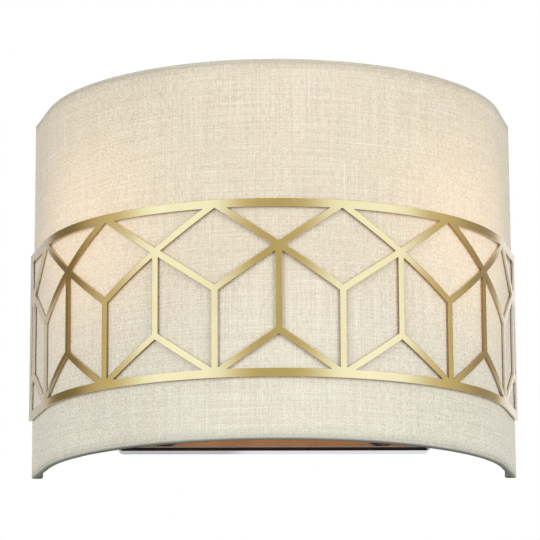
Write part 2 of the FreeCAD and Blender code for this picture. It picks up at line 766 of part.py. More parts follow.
def slot_cutter(centre):
    """A cutter for one slot along X through the strap."""
    half = (SLOT_LENGTH - SLOT_WIDTH) / 2
    top = centre + V(0, STRAP_SHEET, 0)
    body = Part.makeBox(2 * half, 3 * STRAP_SHEET, SLOT_WIDTH,
                        top + V(-half, -3 * STRAP_SHEET, -SLOT_WIDTH / 2))
    ends = [cylinder(SLOT_WIDTH / 2, top + V(x, 0, 0), Y_AXIS * -1, 3 * STRAP_SHEET)
            for x in (-half, half)]
    return body.fuse(ends).removeSplitter()


def bracket_screws():
    """Screws from outside the tray's sides into the strap's tabs."""
    screws = []
    for side in SIDES:
        seat = V(side * TRAY_WIDTH / 2, bracket_screw_y(), 0)
        screws.append(pan_screw(SCREW_HEAD, SCREW_HEAD_HEIGHT, BRACKET_SCREW, BRACKET_SCREW_LENGTH,
                                seat, X_AXIS * -side))
    return Part.makeCompound(screws)


# ---- Lampholders ----

def lamp_axis(side):
    return V(side * LAMP_X, LAMP_Y, 0)


def holder_bracket(side):
    """Bent strip: a foot riveted to the tray and a level leg with a round end."""
    axis = lamp_axis(side)
    half = LEG_WIDTH / 2
    low = HOLDER_Z - FOOT_HEIGHT
    reach = TRAY_FRONT - LAMP_Y
    outer = Part.makeBox(LEG_WIDTH, reach, FOOT_HEIGHT, V(axis.x - half, LAMP_Y, low))
    cut = Part.makeBox(LEG_WIDTH, reach, FOOT_HEIGHT,
                       V(axis.x - half, LAMP_Y - LEG_SHEET, low - LEG_SHEET))
    outer = outer.makeFillet(LEG_BEND, level_edges(outer, TRAY_FRONT, HOLDER_Z))
    cut = cut.makeFillet(LEG_BEND - LEG_SHEET,
                         level_edges(cut, TRAY_FRONT - LEG_SHEET, HOLDER_Z - LEG_SHEET))
    bent = outer.cut(cut)
    bent = bent.fuse(cylinder(half, V(axis.x, LAMP_Y, HOLDER_Z - LEG_SHEET), Z_AXIS, LEG_SHEET))
    bent = bent.removeSplitter()
    cutters = [cylinder(NIPPLE / 2 + HOLE_CLEARANCE, V(axis.x, LAMP_Y, low), Z_AXIS, FOOT_HEIGHT)]
    for place in foot_rivet_places():
        if place.x * side > 0:
            cutters.append(cylinder(FOOT_RIVET / 2 + HOLE_CLEARANCE, place, Y_AXIS * -1, 2 * LEG_SHEET))
    return bent.cut(cutters)


def level_edges(block, y, z):
    """The block's edges along X at this depth and height."""
    found = []
    for e in block.Edges:
        box = e.BoundBox
        if box.XLength > EPS and abs(box.YMax - y) < EPS and abs(box.YMin - y) < EPS:
            if abs(box.ZMax - z) < EPS and abs(box.ZMin - z) < EPS:
                found.append(e)
    return found


def holder_bracket_rivets():
    """Rivets through the brackets' feet and the tray's front."""
    rivets = []
    into = Y_AXIS
    for place in foot_rivet_places():
        seat = place - into * LEG_SHEET
        length = LEG_SHEET + TRAY_SHEET
        head = cylinder(FOOT_RIVET_HEAD / 2, seat, into * -1, FOOT_RIVET_HEAD_HEIGHT)
        shank = cylinder(FOOT_RIVET / 2, seat, into, length)
        tail = cylinder(FOOT_RIVET_HEAD / 2, seat + into * length, into, FOOT_RIVET_HEAD_HEIGHT)
        rivets.append(head.fuse([shank, tail]).removeSplitter())
    return Part.makeCompound(rivets)


def holder_nipples():
    """Hollow threaded tubes that clamp the holders to their brackets."""
    nipples = []
    for side in SIDES:
        start = lamp_axis(side) + V(0, 0, HOLDER_Z - NIPPLE_DROP)
        length = NIPPLE_DROP + NIPPLE_RISE
        tube = cylinder(NIPPLE / 2, start, Z_AXIS, length)
        nipples.append(tube.cut(cylinder(NIPPLE_BORE / 2, start, Z_AXIS, length)))
    return Part.makeCompound(nipples)


def nipple_washers():
    washers = []
    for side in SIDES:
        start = lamp_axis(side) + V(0, 0, HOLDER_Z - LEG_SHEET)
        disc = cylinder(NIPPLE_WASHER / 2, start, Z_AXIS * -1, WASHER_SHEET)
        hole = cylinder(NIPPLE / 2 + HOLE_CLEARANCE, start, Z_AXIS * -1, WASHER_SHEET)
        washers.append(disc.cut(hole))
    return Part.makeCompound(washers)


def nipple_nuts():
    """Hexagon nuts under the washers."""
    nuts = []
    radius = HEX_NUT_FLATS / 2 / math.cos(math.pi / 6)
    for side in SIDES:
        start = lamp_axis(side) + V(0, 0, HOLDER_Z - LEG_SHEET - WASHER_SHEET)
        corners = []
        for i in range(7):
            angle = math.radians(60 * i)
            corners.append(start + V(math.cos(angle), math.sin(angle), 0) * radius)
        block = Part.Face(Part.makePolygon(corners)).extrude(V(0, 0, -HEX_NUT_HEIGHT))
        bore = cylinder(NIPPLE / 2 + THREAD_CLEARANCE, start, Z_AXIS * -1, HEX_NUT_HEIGHT)
        nuts.append(block.cut(bore))
    return Part.makeCompound(nuts)


def holder_base(side):
    """Lower half of the lampholder, screwed on the nipple, with a cavity for the wire ends."""
    bore = NIPPLE / 2 + THREAD_CLEARANCE
    shoulder = HOLDER_Z + NIPPLE_RISE
    ceiling = HOLDER_Z + BASE_HEIGHT - BASE_DISC
    points = [(bore, HOLDER_Z), (BASE_FLANGE / 2, HOLDER_Z),
              (BASE_FLANGE / 2, HOLDER_Z + BASE_FLANGE_HEIGHT),
              (BASE_DIAMETER / 2, HOLDER_Z + BASE_FLANGE_HEIGHT),
              (BASE_DIAMETER / 2, HOLDER_Z + BASE_HEIGHT), (0, HOLDER_Z + BASE_HEIGHT), (0, ceiling),
              (BASE_CAVITY / 2, ceiling), (BASE_CAVITY / 2, shoulder), (bore, shoulder)]
    return revolved(points, lamp_axis(side))


def holder_skirt(side):
    """Outer sleeve of the lampholder, pushed over the base, with a lipped mouth."""
    low = HOLDER_Z + BASE_FLANGE_HEIGHT
    high = low + SKIRT_HEIGHT
    socket = BASE_DIAMETER / 2 + SLIDE_CLEARANCE
    outer = BASE_FLANGE / 2
    mouth = outer - SKIRT_TAPER
    base_top = HOLDER_Z + BASE_HEIGHT + SLIDE_CLEARANCE
    inner = outer - SKIRT_TAPER - SKIRT_WALL
    points = [(socket, low), (outer, low), (outer, base_top), (mouth, high - SKIRT_LIP),
              (mouth, high - SKIRT_LIP / 2), (mouth - SKIRT_LIP / 2, high),
              (inner - SKIRT_LIP / 2, high), (inner - SKIRT_LIP / 2, high - SKIRT_LIP),
              (inner, high - SKIRT_LIP), (inner, base_top), (socket, base_top)]
    return revolved(points, lamp_axis(side))


def holder_shell(side):
    """Screw shell: a thin sleeve with a turned-out foot on the base."""
    low = HOLDER_Z + BASE_HEIGHT
    bore = SHELL_BORE / 2
    points = [(bore, low), (SHELL_FOOT / 2, low), (SHELL_FOOT / 2, low + SHELL_FOOT_SHEET),
              (bore + SHELL_SHEET, low + SHELL_FOOT_SHEET), (bore + SHELL_SHEET, low + SHELL_HEIGHT),
              (bore, low + SHELL_HEIGHT)]
    return revolved(points, lamp_axis(side))


def holder_contact(side):
    """Bent spring strip under the bulb's centre contact."""
    axis = lamp_axis(side)
    low = HOLDER_Z + BASE_HEIGHT + CONTACT_STRIP / 2
    high = HOLDER_Z + BASE_HEIGHT + CONTACT_RISE - CONTACT_STRIP / 2
    foot = CONTACT_FOOT - CONTACT_START
    top = foot + CONTACT_RAMP
    tip = top + CONTACT_TOP
    line = [(-CONTACT_START, low), (foot, low), (top, high), (tip, high),
            (tip + CONTACT_TIP, (low + high) / 2)]
    corners = [axis + V(x, -CONTACT_STRIP_WIDTH / 2, z) for x, z in strip_outline(line, CONTACT_STRIP)]
    face = Part.Face(Part.makePolygon(corners + [corners[0]]))
    return face.extrude(V(0, CONTACT_STRIP_WIDTH, 0))


# ---- Bulbs ----

def bulb_levels():
    """Heights of the bulb's joints: contact tip, insulator foot, cap foot, cap top, globe rim."""
    tip = HOLDER_Z + BASE_HEIGHT + CONTACT_RISE + CONTACT_GAP
    insulator = tip + PIP_HEIGHT
    cap = insulator + INSULATOR_HEIGHT
    housing = cap + CAP_LENGTH
    rim_level = housing + HOUSING_HEIGHT
    return tip, insulator, cap, housing, rim_level


def cap_radius():
    return SHELL_BORE / 2 - CAP_CLEARANCE


def bulb_contact(side):
    tip, insulator, _, _, _ = bulb_levels()
    radius = PIP_DIAMETER / 2
    points = [(0, tip), (PIP_FACE / 2, tip), (radius, tip + PIP_EDGE), (radius, insulator),
              (0, insulator)]
    return revolved(points, lamp_axis(side))


def bulb_insulator(side):
    _, low, high, _, _ = bulb_levels()
    foot = PIP_DIAMETER / 2 + INSULATOR_LEDGE
    points = [(0, low), (foot, low), (INSULATOR_DIAMETER / 2, high), (0, high)]
    return revolved(points, lamp_axis(side))


def bulb_cap(side):
    """Screw cap with a rounded foot and a flare under the housing."""
    _, _, low, high, _ = bulb_levels()
    radius = cap_radius()
    foot = INSULATOR_DIAMETER / 2
    points = [(0, low), (foot, low), (radius, low + radius - foot), (radius, high - CAP_FLARE_HEIGHT),
              (CAP_FLARE / 2, high - CAP_FLARE_EDGE), (CAP_FLARE / 2, high), (0, high)]
    return revolved(points, lamp_axis(side))


def globe_centre_z():
    return bulb_levels()[4] + GLOBE_CUT


def rim_radius(radius):
    return math.sqrt(radius ** 2 - GLOBE_CUT ** 2)


def bulb_housing(side):
    """Bell-shaped body between cap and globe."""
    _, _, _, low, high = bulb_levels()
    start = V(CAP_FLARE / 2, 0, low)
    end = V(rim_radius(GLOBE_DIAMETER / 2), 0, high)
    middle = start + V((end.x - start.x) * HOUSING_SWELL_OUT, 0, (high - low) * HOUSING_SWELL_UP)
    edges = [Part.LineSegment(V(0, 0, low), start).toShape(), Part.Arc(start, middle, end).toShape(),
             Part.LineSegment(end, V(0, 0, high)).toShape(),
             Part.LineSegment(V(0, 0, high), V(0, 0, low)).toShape()]
    body = Part.Face(Part.Wire(edges)).revolve(V(0, 0, 0), Z_AXIS, 360)
    body.translate(lamp_axis(side))
    return body


def bulb_globe(side):
    """Opal globe: a hollow ball cut flat where it meets the housing."""
    centre = lamp_axis(side) + V(0, 0, globe_centre_z())
    radius = GLOBE_DIAMETER / 2
    ball = Part.makeSphere(radius, centre).cut(Part.makeSphere(radius - GLOBE_WALL, centre))
    below = Part.makeBox(2 * GLOBE_DIAMETER, 2 * GLOBE_DIAMETER, GLOBE_DIAMETER,
                         centre + V(-GLOBE_DIAMETER, -GLOBE_DIAMETER, -GLOBE_DIAMETER - GLOBE_CUT))
    return ball.cut(below)


def bulb_board(side):
    """Light board on top of the housing, inside the globe."""
    start = lamp_axis(side) + V(0, 0, bulb_levels()[4])
    return cylinder(BOARD_DIAMETER / 2, start, Z_AXIS, BOARD_SHEET)


# ---- Terminal block, earth and leads ----

def pole_y():
    """Depth of the terminal bores' axes, midway in the block."""
    return (TRAY_INSIDE - BLOCK_WALL_GAP) / 2


def pole_x(index):
    return index * POLE_PITCH


def wire_screw_places():
    """Seats of the wire screws' heads, two on each pole."""
    places = []
    y = -BLOCK_WALL_GAP - HEAD_SINK - WIRE_SCREW_HEAD_HEIGHT
    clamp = BLOCK_HEIGHT - 2 * MOUTH_DEPTH
    middle = BLOCK_TOP_Z - BLOCK_HEIGHT / 2
    for index in (-1, 0, 1):
        for level in (-clamp / 4, clamp / 4):
            places.append(V(pole_x(index), y, middle + level))
    return places


def terminal_block():
    """Nylon strip of three poles with wire mouths, screw wells and cuts between the poles."""
    depth = -BLOCK_WALL_GAP - TRAY_INSIDE
    low = BLOCK_TOP_Z - BLOCK_HEIGHT
    block = Part.makeBox(BLOCK_WIDTH, depth, BLOCK_HEIGHT, V(-BLOCK_WIDTH / 2, TRAY_INSIDE, low))
    cutters = []
    cavity = CLAMP_SIZE + 2 * SLIDE_CLEARANCE
    for index in (-1, 0, 1):
        x = pole_x(index)
        cutters.append(cylinder(MOUTH_DIAMETER / 2, V(x, pole_y(), low), Z_AXIS, BLOCK_HEIGHT))
        cutters.append(Part.makeBox(cavity, cavity, BLOCK_HEIGHT - 2 * MOUTH_DEPTH,
                                    V(x - cavity / 2, pole_y() - cavity / 2, low + MOUTH_DEPTH)))
    well = WIRE_SCREW_HEAD / 2 + SLIDE_CLEARANCE
    for place in wire_screw_places():
        cutters.append(cylinder(well, place, Y_AXIS, depth))
        cutters.append(cylinder(WIRE_SCREW / 2 + SLIDE_CLEARANCE, place, Y_AXIS * -1, WIRE_SCREW_LENGTH))
    for place in block_screw_places():
        seat = place + V(0, block_screw_seat_y(), 0)
        cutters.append(cylinder(BLOCK_SCREW_HEAD / 2 + HOLE_CLEARANCE, seat, Y_AXIS, depth))
        cutters.append(cylinder(BLOCK_SCREW / 2 + HOLE_CLEARANCE, seat, Y_AXIS * -1, depth))
    return block.cut(cutters)


def block_screw_seat_y():
    return -BLOCK_WALL_GAP - HEAD_SINK - BLOCK_SCREW_HEAD_HEIGHT


def terminal_clamps():
    """Brass clamps: square bars with a wire bore and two screw holes."""
    clamps = []
    low = BLOCK_TOP_Z - BLOCK_HEIGHT + MOUTH_DEPTH
    length = BLOCK_HEIGHT - 2 * MOUTH_DEPTH
    for index in (-1, 0, 1):
        x = pole_x(index)
        bar = Part.makeBox(CLAMP_SIZE, CLAMP_SIZE, length,
                           V(x - CLAMP_SIZE / 2, pole_y() - CLAMP_SIZE / 2, low))
        cutters = [cylinder(CLAMP_BORE / 2, V(x, pole_y(), low), Z_AXIS, length)]
        for place in wire_screw_places():
            if abs(place.x - x) < EPS:
                cutters.append(cylinder(WIRE_SCREW / 2 + THREAD_CLEARANCE, place, Y_AXIS * -1,
                                        place.y - pole_y()))
        clamps.append(bar.cut(cutters))
    return Part.makeCompound(clamps)


def terminal_screws():
    screws = []
    for place in wire_screw_places():
        head = cylinder(WIRE_SCREW_HEAD / 2, place, Y_AXIS, WIRE_SCREW_HEAD_HEIGHT)
        shank = cylinder(WIRE_SCREW / 2, place, Y_AXIS * -1, WIRE_SCREW_LENGTH)
        screws.append(head.fuse(shank).removeSplitter())
    return Part.makeCompound(screws)


def block_screws():
    """Screws that hold the terminal block on the tray's front sheet."""
    screws = []
    length = block_screw_seat_y() - TRAY_FRONT
    for place in block_screw_places():
        seat = place + V(0, block_screw_seat_y(), 0)
        screws.append(pan_screw(BLOCK_SCREW_HEAD, BLOCK_SCREW_HEAD_HEIGHT, BLOCK_SCREW, length,
                                seat, Y_AXIS * -1))
    return Part.makeCompound(screws)


def tag_axis_y():
    """Depth of the earth tag's crimp barrel."""
    return -STRAP_SHEET - TAG_BARREL / 2


def earth_tag():
    """Ring tag with a crimp barrel that points down."""
    face = V(EARTH_X, -STRAP_SHEET, 0)
    plate = cylinder(TAG_RING / 2, face, Y_AXIS * -1, TAG_SHEET)
    foot = -TAG_RING / 2 - TAG_NECK
    neck = Part.makeBox(TAG_BARREL, TAG_SHEET, -foot,
                        V(EARTH_X - TAG_BARREL / 2, -STRAP_SHEET - TAG_SHEET, foot))
    top = V(EARTH_X, tag_axis_y(), foot + TAG_SHEET)
    barrel = cylinder(TAG_BARREL / 2, top, Z_AXIS * -1, TAG_BARREL_LENGTH)
    tag = plate.fuse([neck, barrel]).removeSplitter()
    bore = cylinder(EARTH_CORE / 2 + HOLE_CLEARANCE / 2, top + V(0, 0, -TAG_SHEET), Z_AXIS * -1,
                    TAG_BARREL_LENGTH)
    hole = cylinder(STUD / 2 + HOLE_CLEARANCE, face, Y_AXIS * -1, TAG_SHEET)
    return tag.cut([bore, hole])


def tag_mouth_z():
    return -TAG_RING / 2 - TAG_NECK + TAG_SHEET - TAG_BARREL_LENGTH


def earth_washer():
    face = V(EARTH_X, -STRAP_SHEET - TAG_SHEET, 0)
    disc = cylinder(EARTH_WASHER / 2, face, Y_AXIS * -1, WASHER_SHEET)
    return disc.cut(cylinder(STUD / 2 + HOLE_CLEARANCE, face, Y_AXIS * -1, WASHER_SHEET))


def earth_screw():
    seat = V(EARTH_X, -STRAP_SHEET - TAG_SHEET - WASHER_SHEET, 0)
    return pan_screw(SCREW_HEAD, SCREW_HEAD_HEIGHT, STUD, STRAP_SHEET + TAG_SHEET + WASHER_SHEET,
                     seat, Y_AXIS)


def earth_lead():
    """Green and yellow core from the middle pole up to the earth tag."""
    start = V(0, pole_y(), BLOCK_TOP_Z - MOUTH_DEPTH)
    end = V(EARTH_X, tag_axis_y(), tag_mouth_z() + TAG_INSERT)
    rise = V(0, 0, 2 * EARTH_TURN)
    turns = [EARTH_TURN, EARTH_TURN]
    return lead([start, start + rise, end - rise, end], turns, EARTH_CORE)


def lamp_lead(side, pole, layer, spread):
    """One insulated core from a lampholder, through the tray's grommet, to its terminal.

    The outer core of a pair turns last, so that the two don't cross on their way to the block.
    """
    x = side * (LAMP_X + spread)
    through = side * (GROMMET_X + spread)
    end_x = pole_x(pole) + side * POLE_SPREAD
    level = pole_y() + layer
    top = HOLDER_Z + BASE_HEIGHT - BASE_DISC
    end_z = BLOCK_TOP_Z - BLOCK_HEIGHT + MOUTH_DEPTH
    points = [V(x, LAMP_Y, top), V(x, LAMP_Y, HOLDER_Z - LEAD_LOOP_DROP),
              V(through, LEAD_LEVEL_Y, GROMMET_Z), V(through, level, GROMMET_Z),
              V(end_x, level, end_z - LEAD_END_RUN), V(end_x, level, end_z)]
    radii = [LEAD_LOOP_TURN, LEAD_RISE_TURN, LEAD_TURN, LEAD_TURN]
    return lead(points, radii, CORE)


def lead_grommets():
    """Rubber bushes in the tray's front."""
    bushes = []
    for side in SIDES:
        middle = V(side * GROMMET_X, TRAY_FRONT, GROMMET_Z)
        front = cylinder(GROMMET_FLANGE / 2, middle, Y_AXIS * -1, GROMMET_LIP)
        back = cylinder(GROMMET_FLANGE / 2, middle + Y_AXIS * TRAY_SHEET, Y_AXIS, GROMMET_BACK_LIP)
        neck = cylinder(GROMMET_HOLE / 2, middle, Y_AXIS, TRAY_SHEET)
        bore = cylinder(GROMMET_BORE / 2, middle - Y_AXIS * GROMMET_LIP, Y_AXIS, 2 * TRAY_DEPTH)
        bushes.append(front.fuse([back, neck]).removeSplitter().cut(bore))
    return Part.makeCompound(bushes)


# ---- All sub-parts ----

def build_parts():
    parts = {
        "wall_bracket": wall_bracket(),
        "bracket_screws": bracket_screws(),
        "wall_tray": wall_tray(),
        "lead_grommets": lead_grommets(),
        "terminal_block": terminal_block(),
        "terminal_clamps": terminal_clamps(),
        "terminal_screws": terminal_screws(),
        "block_screws": block_screws(),
        "earth_screw": earth_screw(),
        "earth_washer": earth_washer(),
        "earth_tag": earth_tag(),
        "earth_lead": earth_lead(),
        "holder_bracket_rivets": holder_bracket_rivets(),
        "holder_nipples": holder_nipples(),
        "nipple_washers": nipple_washers(),
        "nipple_nuts": nipple_nuts(),
        "top_ring": ring(RING_Z),
        "bottom_ring": ring(-RING_Z),
        "top_carrier": carrier(CARRIER_Z),
        "bottom_carrier": carrier(-CARRIER_Z),
        "shade_liner": plan_wall(LINER_OUTER, LINER_INNER, CLOTH_END, -CLOTH_TOP, CLOTH_TOP),
        "linen_cover": plan_wall(COVER_OUTER, COVER_INNER, CLOTH_END, -CLOTH_TOP, CLOTH_TOP),
        "top_rim": rim(RING_Z),
        "bottom_rim": rim(-RING_Z),
        "shade_studs": shade_studs(),
        "thumb_nuts": thumb_nuts(),
        "lattice_band": lattice_band(),
        "band_rivets": band_rivets(),
    }
    for name, side in (("left", -1), ("right", 1)):
        parts[name + "_upright"] = upright(side)
        parts[name + "_end_wrap"] = end_wrap(side)
        parts[name + "_holder_bracket"] = holder_bracket(side)
        parts[name + "_holder_base"] = holder_base(side)
        parts[name + "_holder_skirt"] = holder_skirt(side)
        parts[name + "_holder_shell"] = holder_shell(side)
        parts[name + "_holder_contact"] = holder_contact(side)
        parts[name + "_bulb_contact"] = bulb_contact(side)
        parts[name + "_bulb_insulator"] = bulb_insulator(side)
        parts[name + "_bulb_cap"] = bulb_cap(side)
        parts[name + "_bulb_housing"] = bulb_housing(side)
        parts[name + "_bulb_board"] = bulb_board(side)
        parts[name + "_bulb_globe"] = bulb_globe(side)
        parts[name + "_live_lead"] = lamp_lead(side, -1, LIVE_LAYER, CORE_SPREAD)
        parts[name + "_neutral_lead"] = lamp_lead(side, 1, -LIVE_LAYER, -CORE_SPREAD)
    return parts


def main():
    os.makedirs("parts", exist_ok=True)
    for name, shape in build_parts().items():
        shape.exportStep("parts/" + name + ".step")
        print(name, "solids", len(shape.Solids), "volume", round(shape.Volume, 1))


main()
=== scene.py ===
import json
import math

import bpy
from mathutils import Matrix, Vector, noise

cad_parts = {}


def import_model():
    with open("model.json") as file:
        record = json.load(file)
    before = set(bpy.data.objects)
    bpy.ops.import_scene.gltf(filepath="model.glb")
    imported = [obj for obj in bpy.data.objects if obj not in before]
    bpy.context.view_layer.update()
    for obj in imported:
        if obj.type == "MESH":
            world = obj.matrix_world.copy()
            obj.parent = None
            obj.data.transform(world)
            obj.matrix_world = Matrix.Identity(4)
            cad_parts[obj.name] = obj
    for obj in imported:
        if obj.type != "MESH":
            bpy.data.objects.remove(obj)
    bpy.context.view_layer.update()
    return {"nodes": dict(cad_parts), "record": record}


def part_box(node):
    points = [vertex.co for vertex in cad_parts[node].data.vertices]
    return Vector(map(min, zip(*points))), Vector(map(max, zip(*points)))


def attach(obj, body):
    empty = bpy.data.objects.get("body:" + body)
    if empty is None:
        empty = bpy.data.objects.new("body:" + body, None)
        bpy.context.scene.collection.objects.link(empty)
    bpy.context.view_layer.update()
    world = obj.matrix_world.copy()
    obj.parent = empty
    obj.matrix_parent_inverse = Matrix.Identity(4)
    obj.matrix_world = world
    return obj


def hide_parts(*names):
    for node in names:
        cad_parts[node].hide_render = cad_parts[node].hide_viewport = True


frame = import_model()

NODES = frame["nodes"]
SLOT_OF = {part["node"]: part["material_slot"] for part in frame["record"]["subparts"]}
SIDES = ((-1, "left"), (1, "right"))
MM = 0.001

# Sizes of the shade, in metres, as its frame has them.
SHADE_WIDTH = 250.0 * MM
SHADE_DEPTH = 125.0 * MM
SHADE_HEIGHT = 188.0 * MM
SIDE_SPLAY = math.radians(14.0)
FRONT_RADIUS = ((SHADE_WIDTH / 2 / math.tan(SIDE_SPLAY) - SHADE_DEPTH)
                / (1 / math.sin(SIDE_SPLAY) - 1))
ARC_CENTRE_Y = FRONT_RADIUS - SHADE_DEPTH

# The linen.
ROLL = 3.2 * MM                  # the rolled rims' diameter
ROLL_SLACK = 0.02                # a roll is thinner than that by this share
ROLL_LUMP = 0.03                 # and uneven by this share
RIM_Z = SHADE_HEIGHT / 2 - ROLL / 2
CLOTH = 0.3 * MM
CLOTH_END = -4.2 * MM            # y where cloth and rims meet the end wraps
CLOTH_TOP = RIM_Z - 0.8 * MM
COVER_OFFSET = -0.3 * MM         # the cover's outer face, from the shade's outermost line
RIPPLE = 0.05 * MM
EDGE_RISE = 0.22 * MM            # the linen rises onto its rims by this much
EDGE_REACH = 5.0 * MM            # over this height
WRAP_ROUNDING = 1.1 * MM
THREAD_PITCH = 0.78 * MM         # linen threads

# Bulbs and fasteners. Studs and nuts are made along Z and then turned, so their heights are
# depths from the wall.
LAMP_X, LAMP_Y = 60.0 * MM, -52.0 * MM
STUD_X, CARRIER_Z = 28.0 * MM, 45.0 * MM
M4_RADIUS, M4_ROOT, M4_PITCH = 2.0 * MM, 1.6 * MM, 0.7 * MM
HEAD_RADIUS = 4.0 * MM           # of studs and bracket screws
STUD_BACK, STUD_SEAT, STUD_TIP = 11.2 * MM, 12.0 * MM, 24.0 * MM
NUT_RADIUS, NUT_BACK, NUT_FRONT = 6.0 * MM, 15.7 * MM, 20.5 * MM
TRAY_SIDE_X, SCREW_Y = 80.0 * MM, -6.5 * MM
SCREW_HEAD, SCREW_LENGTH = 2.4 * MM, 8.0 * MM
CAP_LOW, CAP_HIGH, CAP_RADIUS = -40.9 * MM, -16.5 * MM, 6.9 * MM


# ---- Following the shade's plan ----

def plan_half(offset, end_y):
    """Length of the plan line at this offset, from the front centre to the depth end_y."""
    radius = FRONT_RADIUS + offset
    tangent_y = ARC_CENTRE_Y - radius * math.sin(SIDE_SPLAY)
    return radius * (math.pi / 2 - SIDE_SPLAY) + (end_y - tangent_y) / math.cos(SIDE_SPLAY)


def plan_place(s, offset):
    """Point and outward normal on the plan line, s from the front centre."""
    radius = FRONT_RADIUS + offset
    arc = radius * (math.pi / 2 - SIDE_SPLAY)
    turn = min(abs(s), arc) / radius
    rest = max(abs(s) - arc, 0.0)
    side = -1.0 if s < 0 else 1.0
    outward = Vector((side * math.sin(turn), -math.cos(turn), 0))
    along = Vector((side * math.cos(turn), math.sin(turn), 0))
    return Vector((0, ARC_CENTRE_Y, 0)) + outward * radius + along * rest, outward


# ---- Modelling helpers ----

def clear_selection():
    if bpy.context.object and bpy.context.object.mode != "OBJECT":
        bpy.ops.object.mode_set(mode="OBJECT")
    bpy.ops.object.select_all(action="DESELECT")


def pick(piece):
    clear_selection()
    piece.select_set(True)
    bpy.context.view_layer.objects.active = piece


def edit_whole(piece):
    """Opens the piece in edit mode with all of it selected."""
    pick(piece)
    bpy.ops.object.mode_set(mode="EDIT")
    bpy.ops.mesh.select_all(action="SELECT")


def leave_edit():
    bpy.ops.object.mode_set(mode="OBJECT")


def apply_transform():
    """Moves the picked piece's own place into its mesh, so that its origin is the frame's."""
    bpy.ops.object.transform_apply(location=True, rotation=True, scale=True)


def apply_modifiers(piece):
    pick(piece)
    for modifier in list(piece.modifiers):
        bpy.ops.object.modifier_apply(modifier=modifier.name)


def named(name):
    """The piece just made, with its name."""
    piece = bpy.context.object
    piece.name = name
    piece.data.name = name
    return piece


def block(name, centre, size):
    clear_selection()
    bpy.ops.mesh.primitive_cube_add(size=1, location=centre)
    bpy.ops.transform.resize(value=tuple(size))
    apply_transform()
    return named(name)


def shaped_grid(name, columns, rows, width, height, place):
    """A flat grid whose points are laid by place(across, up); its UV map is in metres."""
    clear_selection()
    bpy.ops.mesh.primitive_grid_add(x_subdivisions=columns, y_subdivisions=rows, size=1)
    piece = named(name)
    uv = piece.data.uv_layers.active
    flat = [vertex.co.copy() for vertex in piece.data.vertices]
    for loop in piece.data.loops:
        at = flat[loop.vertex_index]
        uv.data[loop.index].uv = (at.x * width, at.y * height)
    for vertex, at in zip(piece.data.vertices, flat):
        vertex.co = place(at.x * width, at.y * height)
    return piece


def merge_and_face_out(piece):
    edit_whole(piece)
    bpy.ops.mesh.remove_doubles(threshold=1e-6)
    bpy.ops.mesh.normals_make_consistent(inside=False)
    leave_edit()


def close_ends(piece):
    """Fills the two open ends of a tube."""
    pick(piece)
    bpy.ops.object.mode_set(mode="EDIT")
    bpy.ops.mesh.select_all(action="DESELECT")
    bpy.ops.mesh.select_mode(type="EDGE")
    bpy.ops.mesh.select_non_manifold(extend=False)
    bpy.ops.mesh.fill_holes(sides=0)
    bpy.ops.mesh.select_all(action="SELECT")
    bpy.ops.mesh.normals_make_consistent(inside=False)
    leave_edit()


def finish_piece(piece, node, body="lamp"):
    """The piece takes the place and the finish of a node of the frame, and rides on its body."""
    slot = SLOT_OF[node]
    piece.data.materials.clear()
    piece.data.materials.append(FINISHES[slot])
    pick(piece)
    bpy.ops.object.shade_smooth_by_angle(angle=math.radians(40))
    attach(piece, body)
    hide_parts(node)


# ---- Material helpers ----

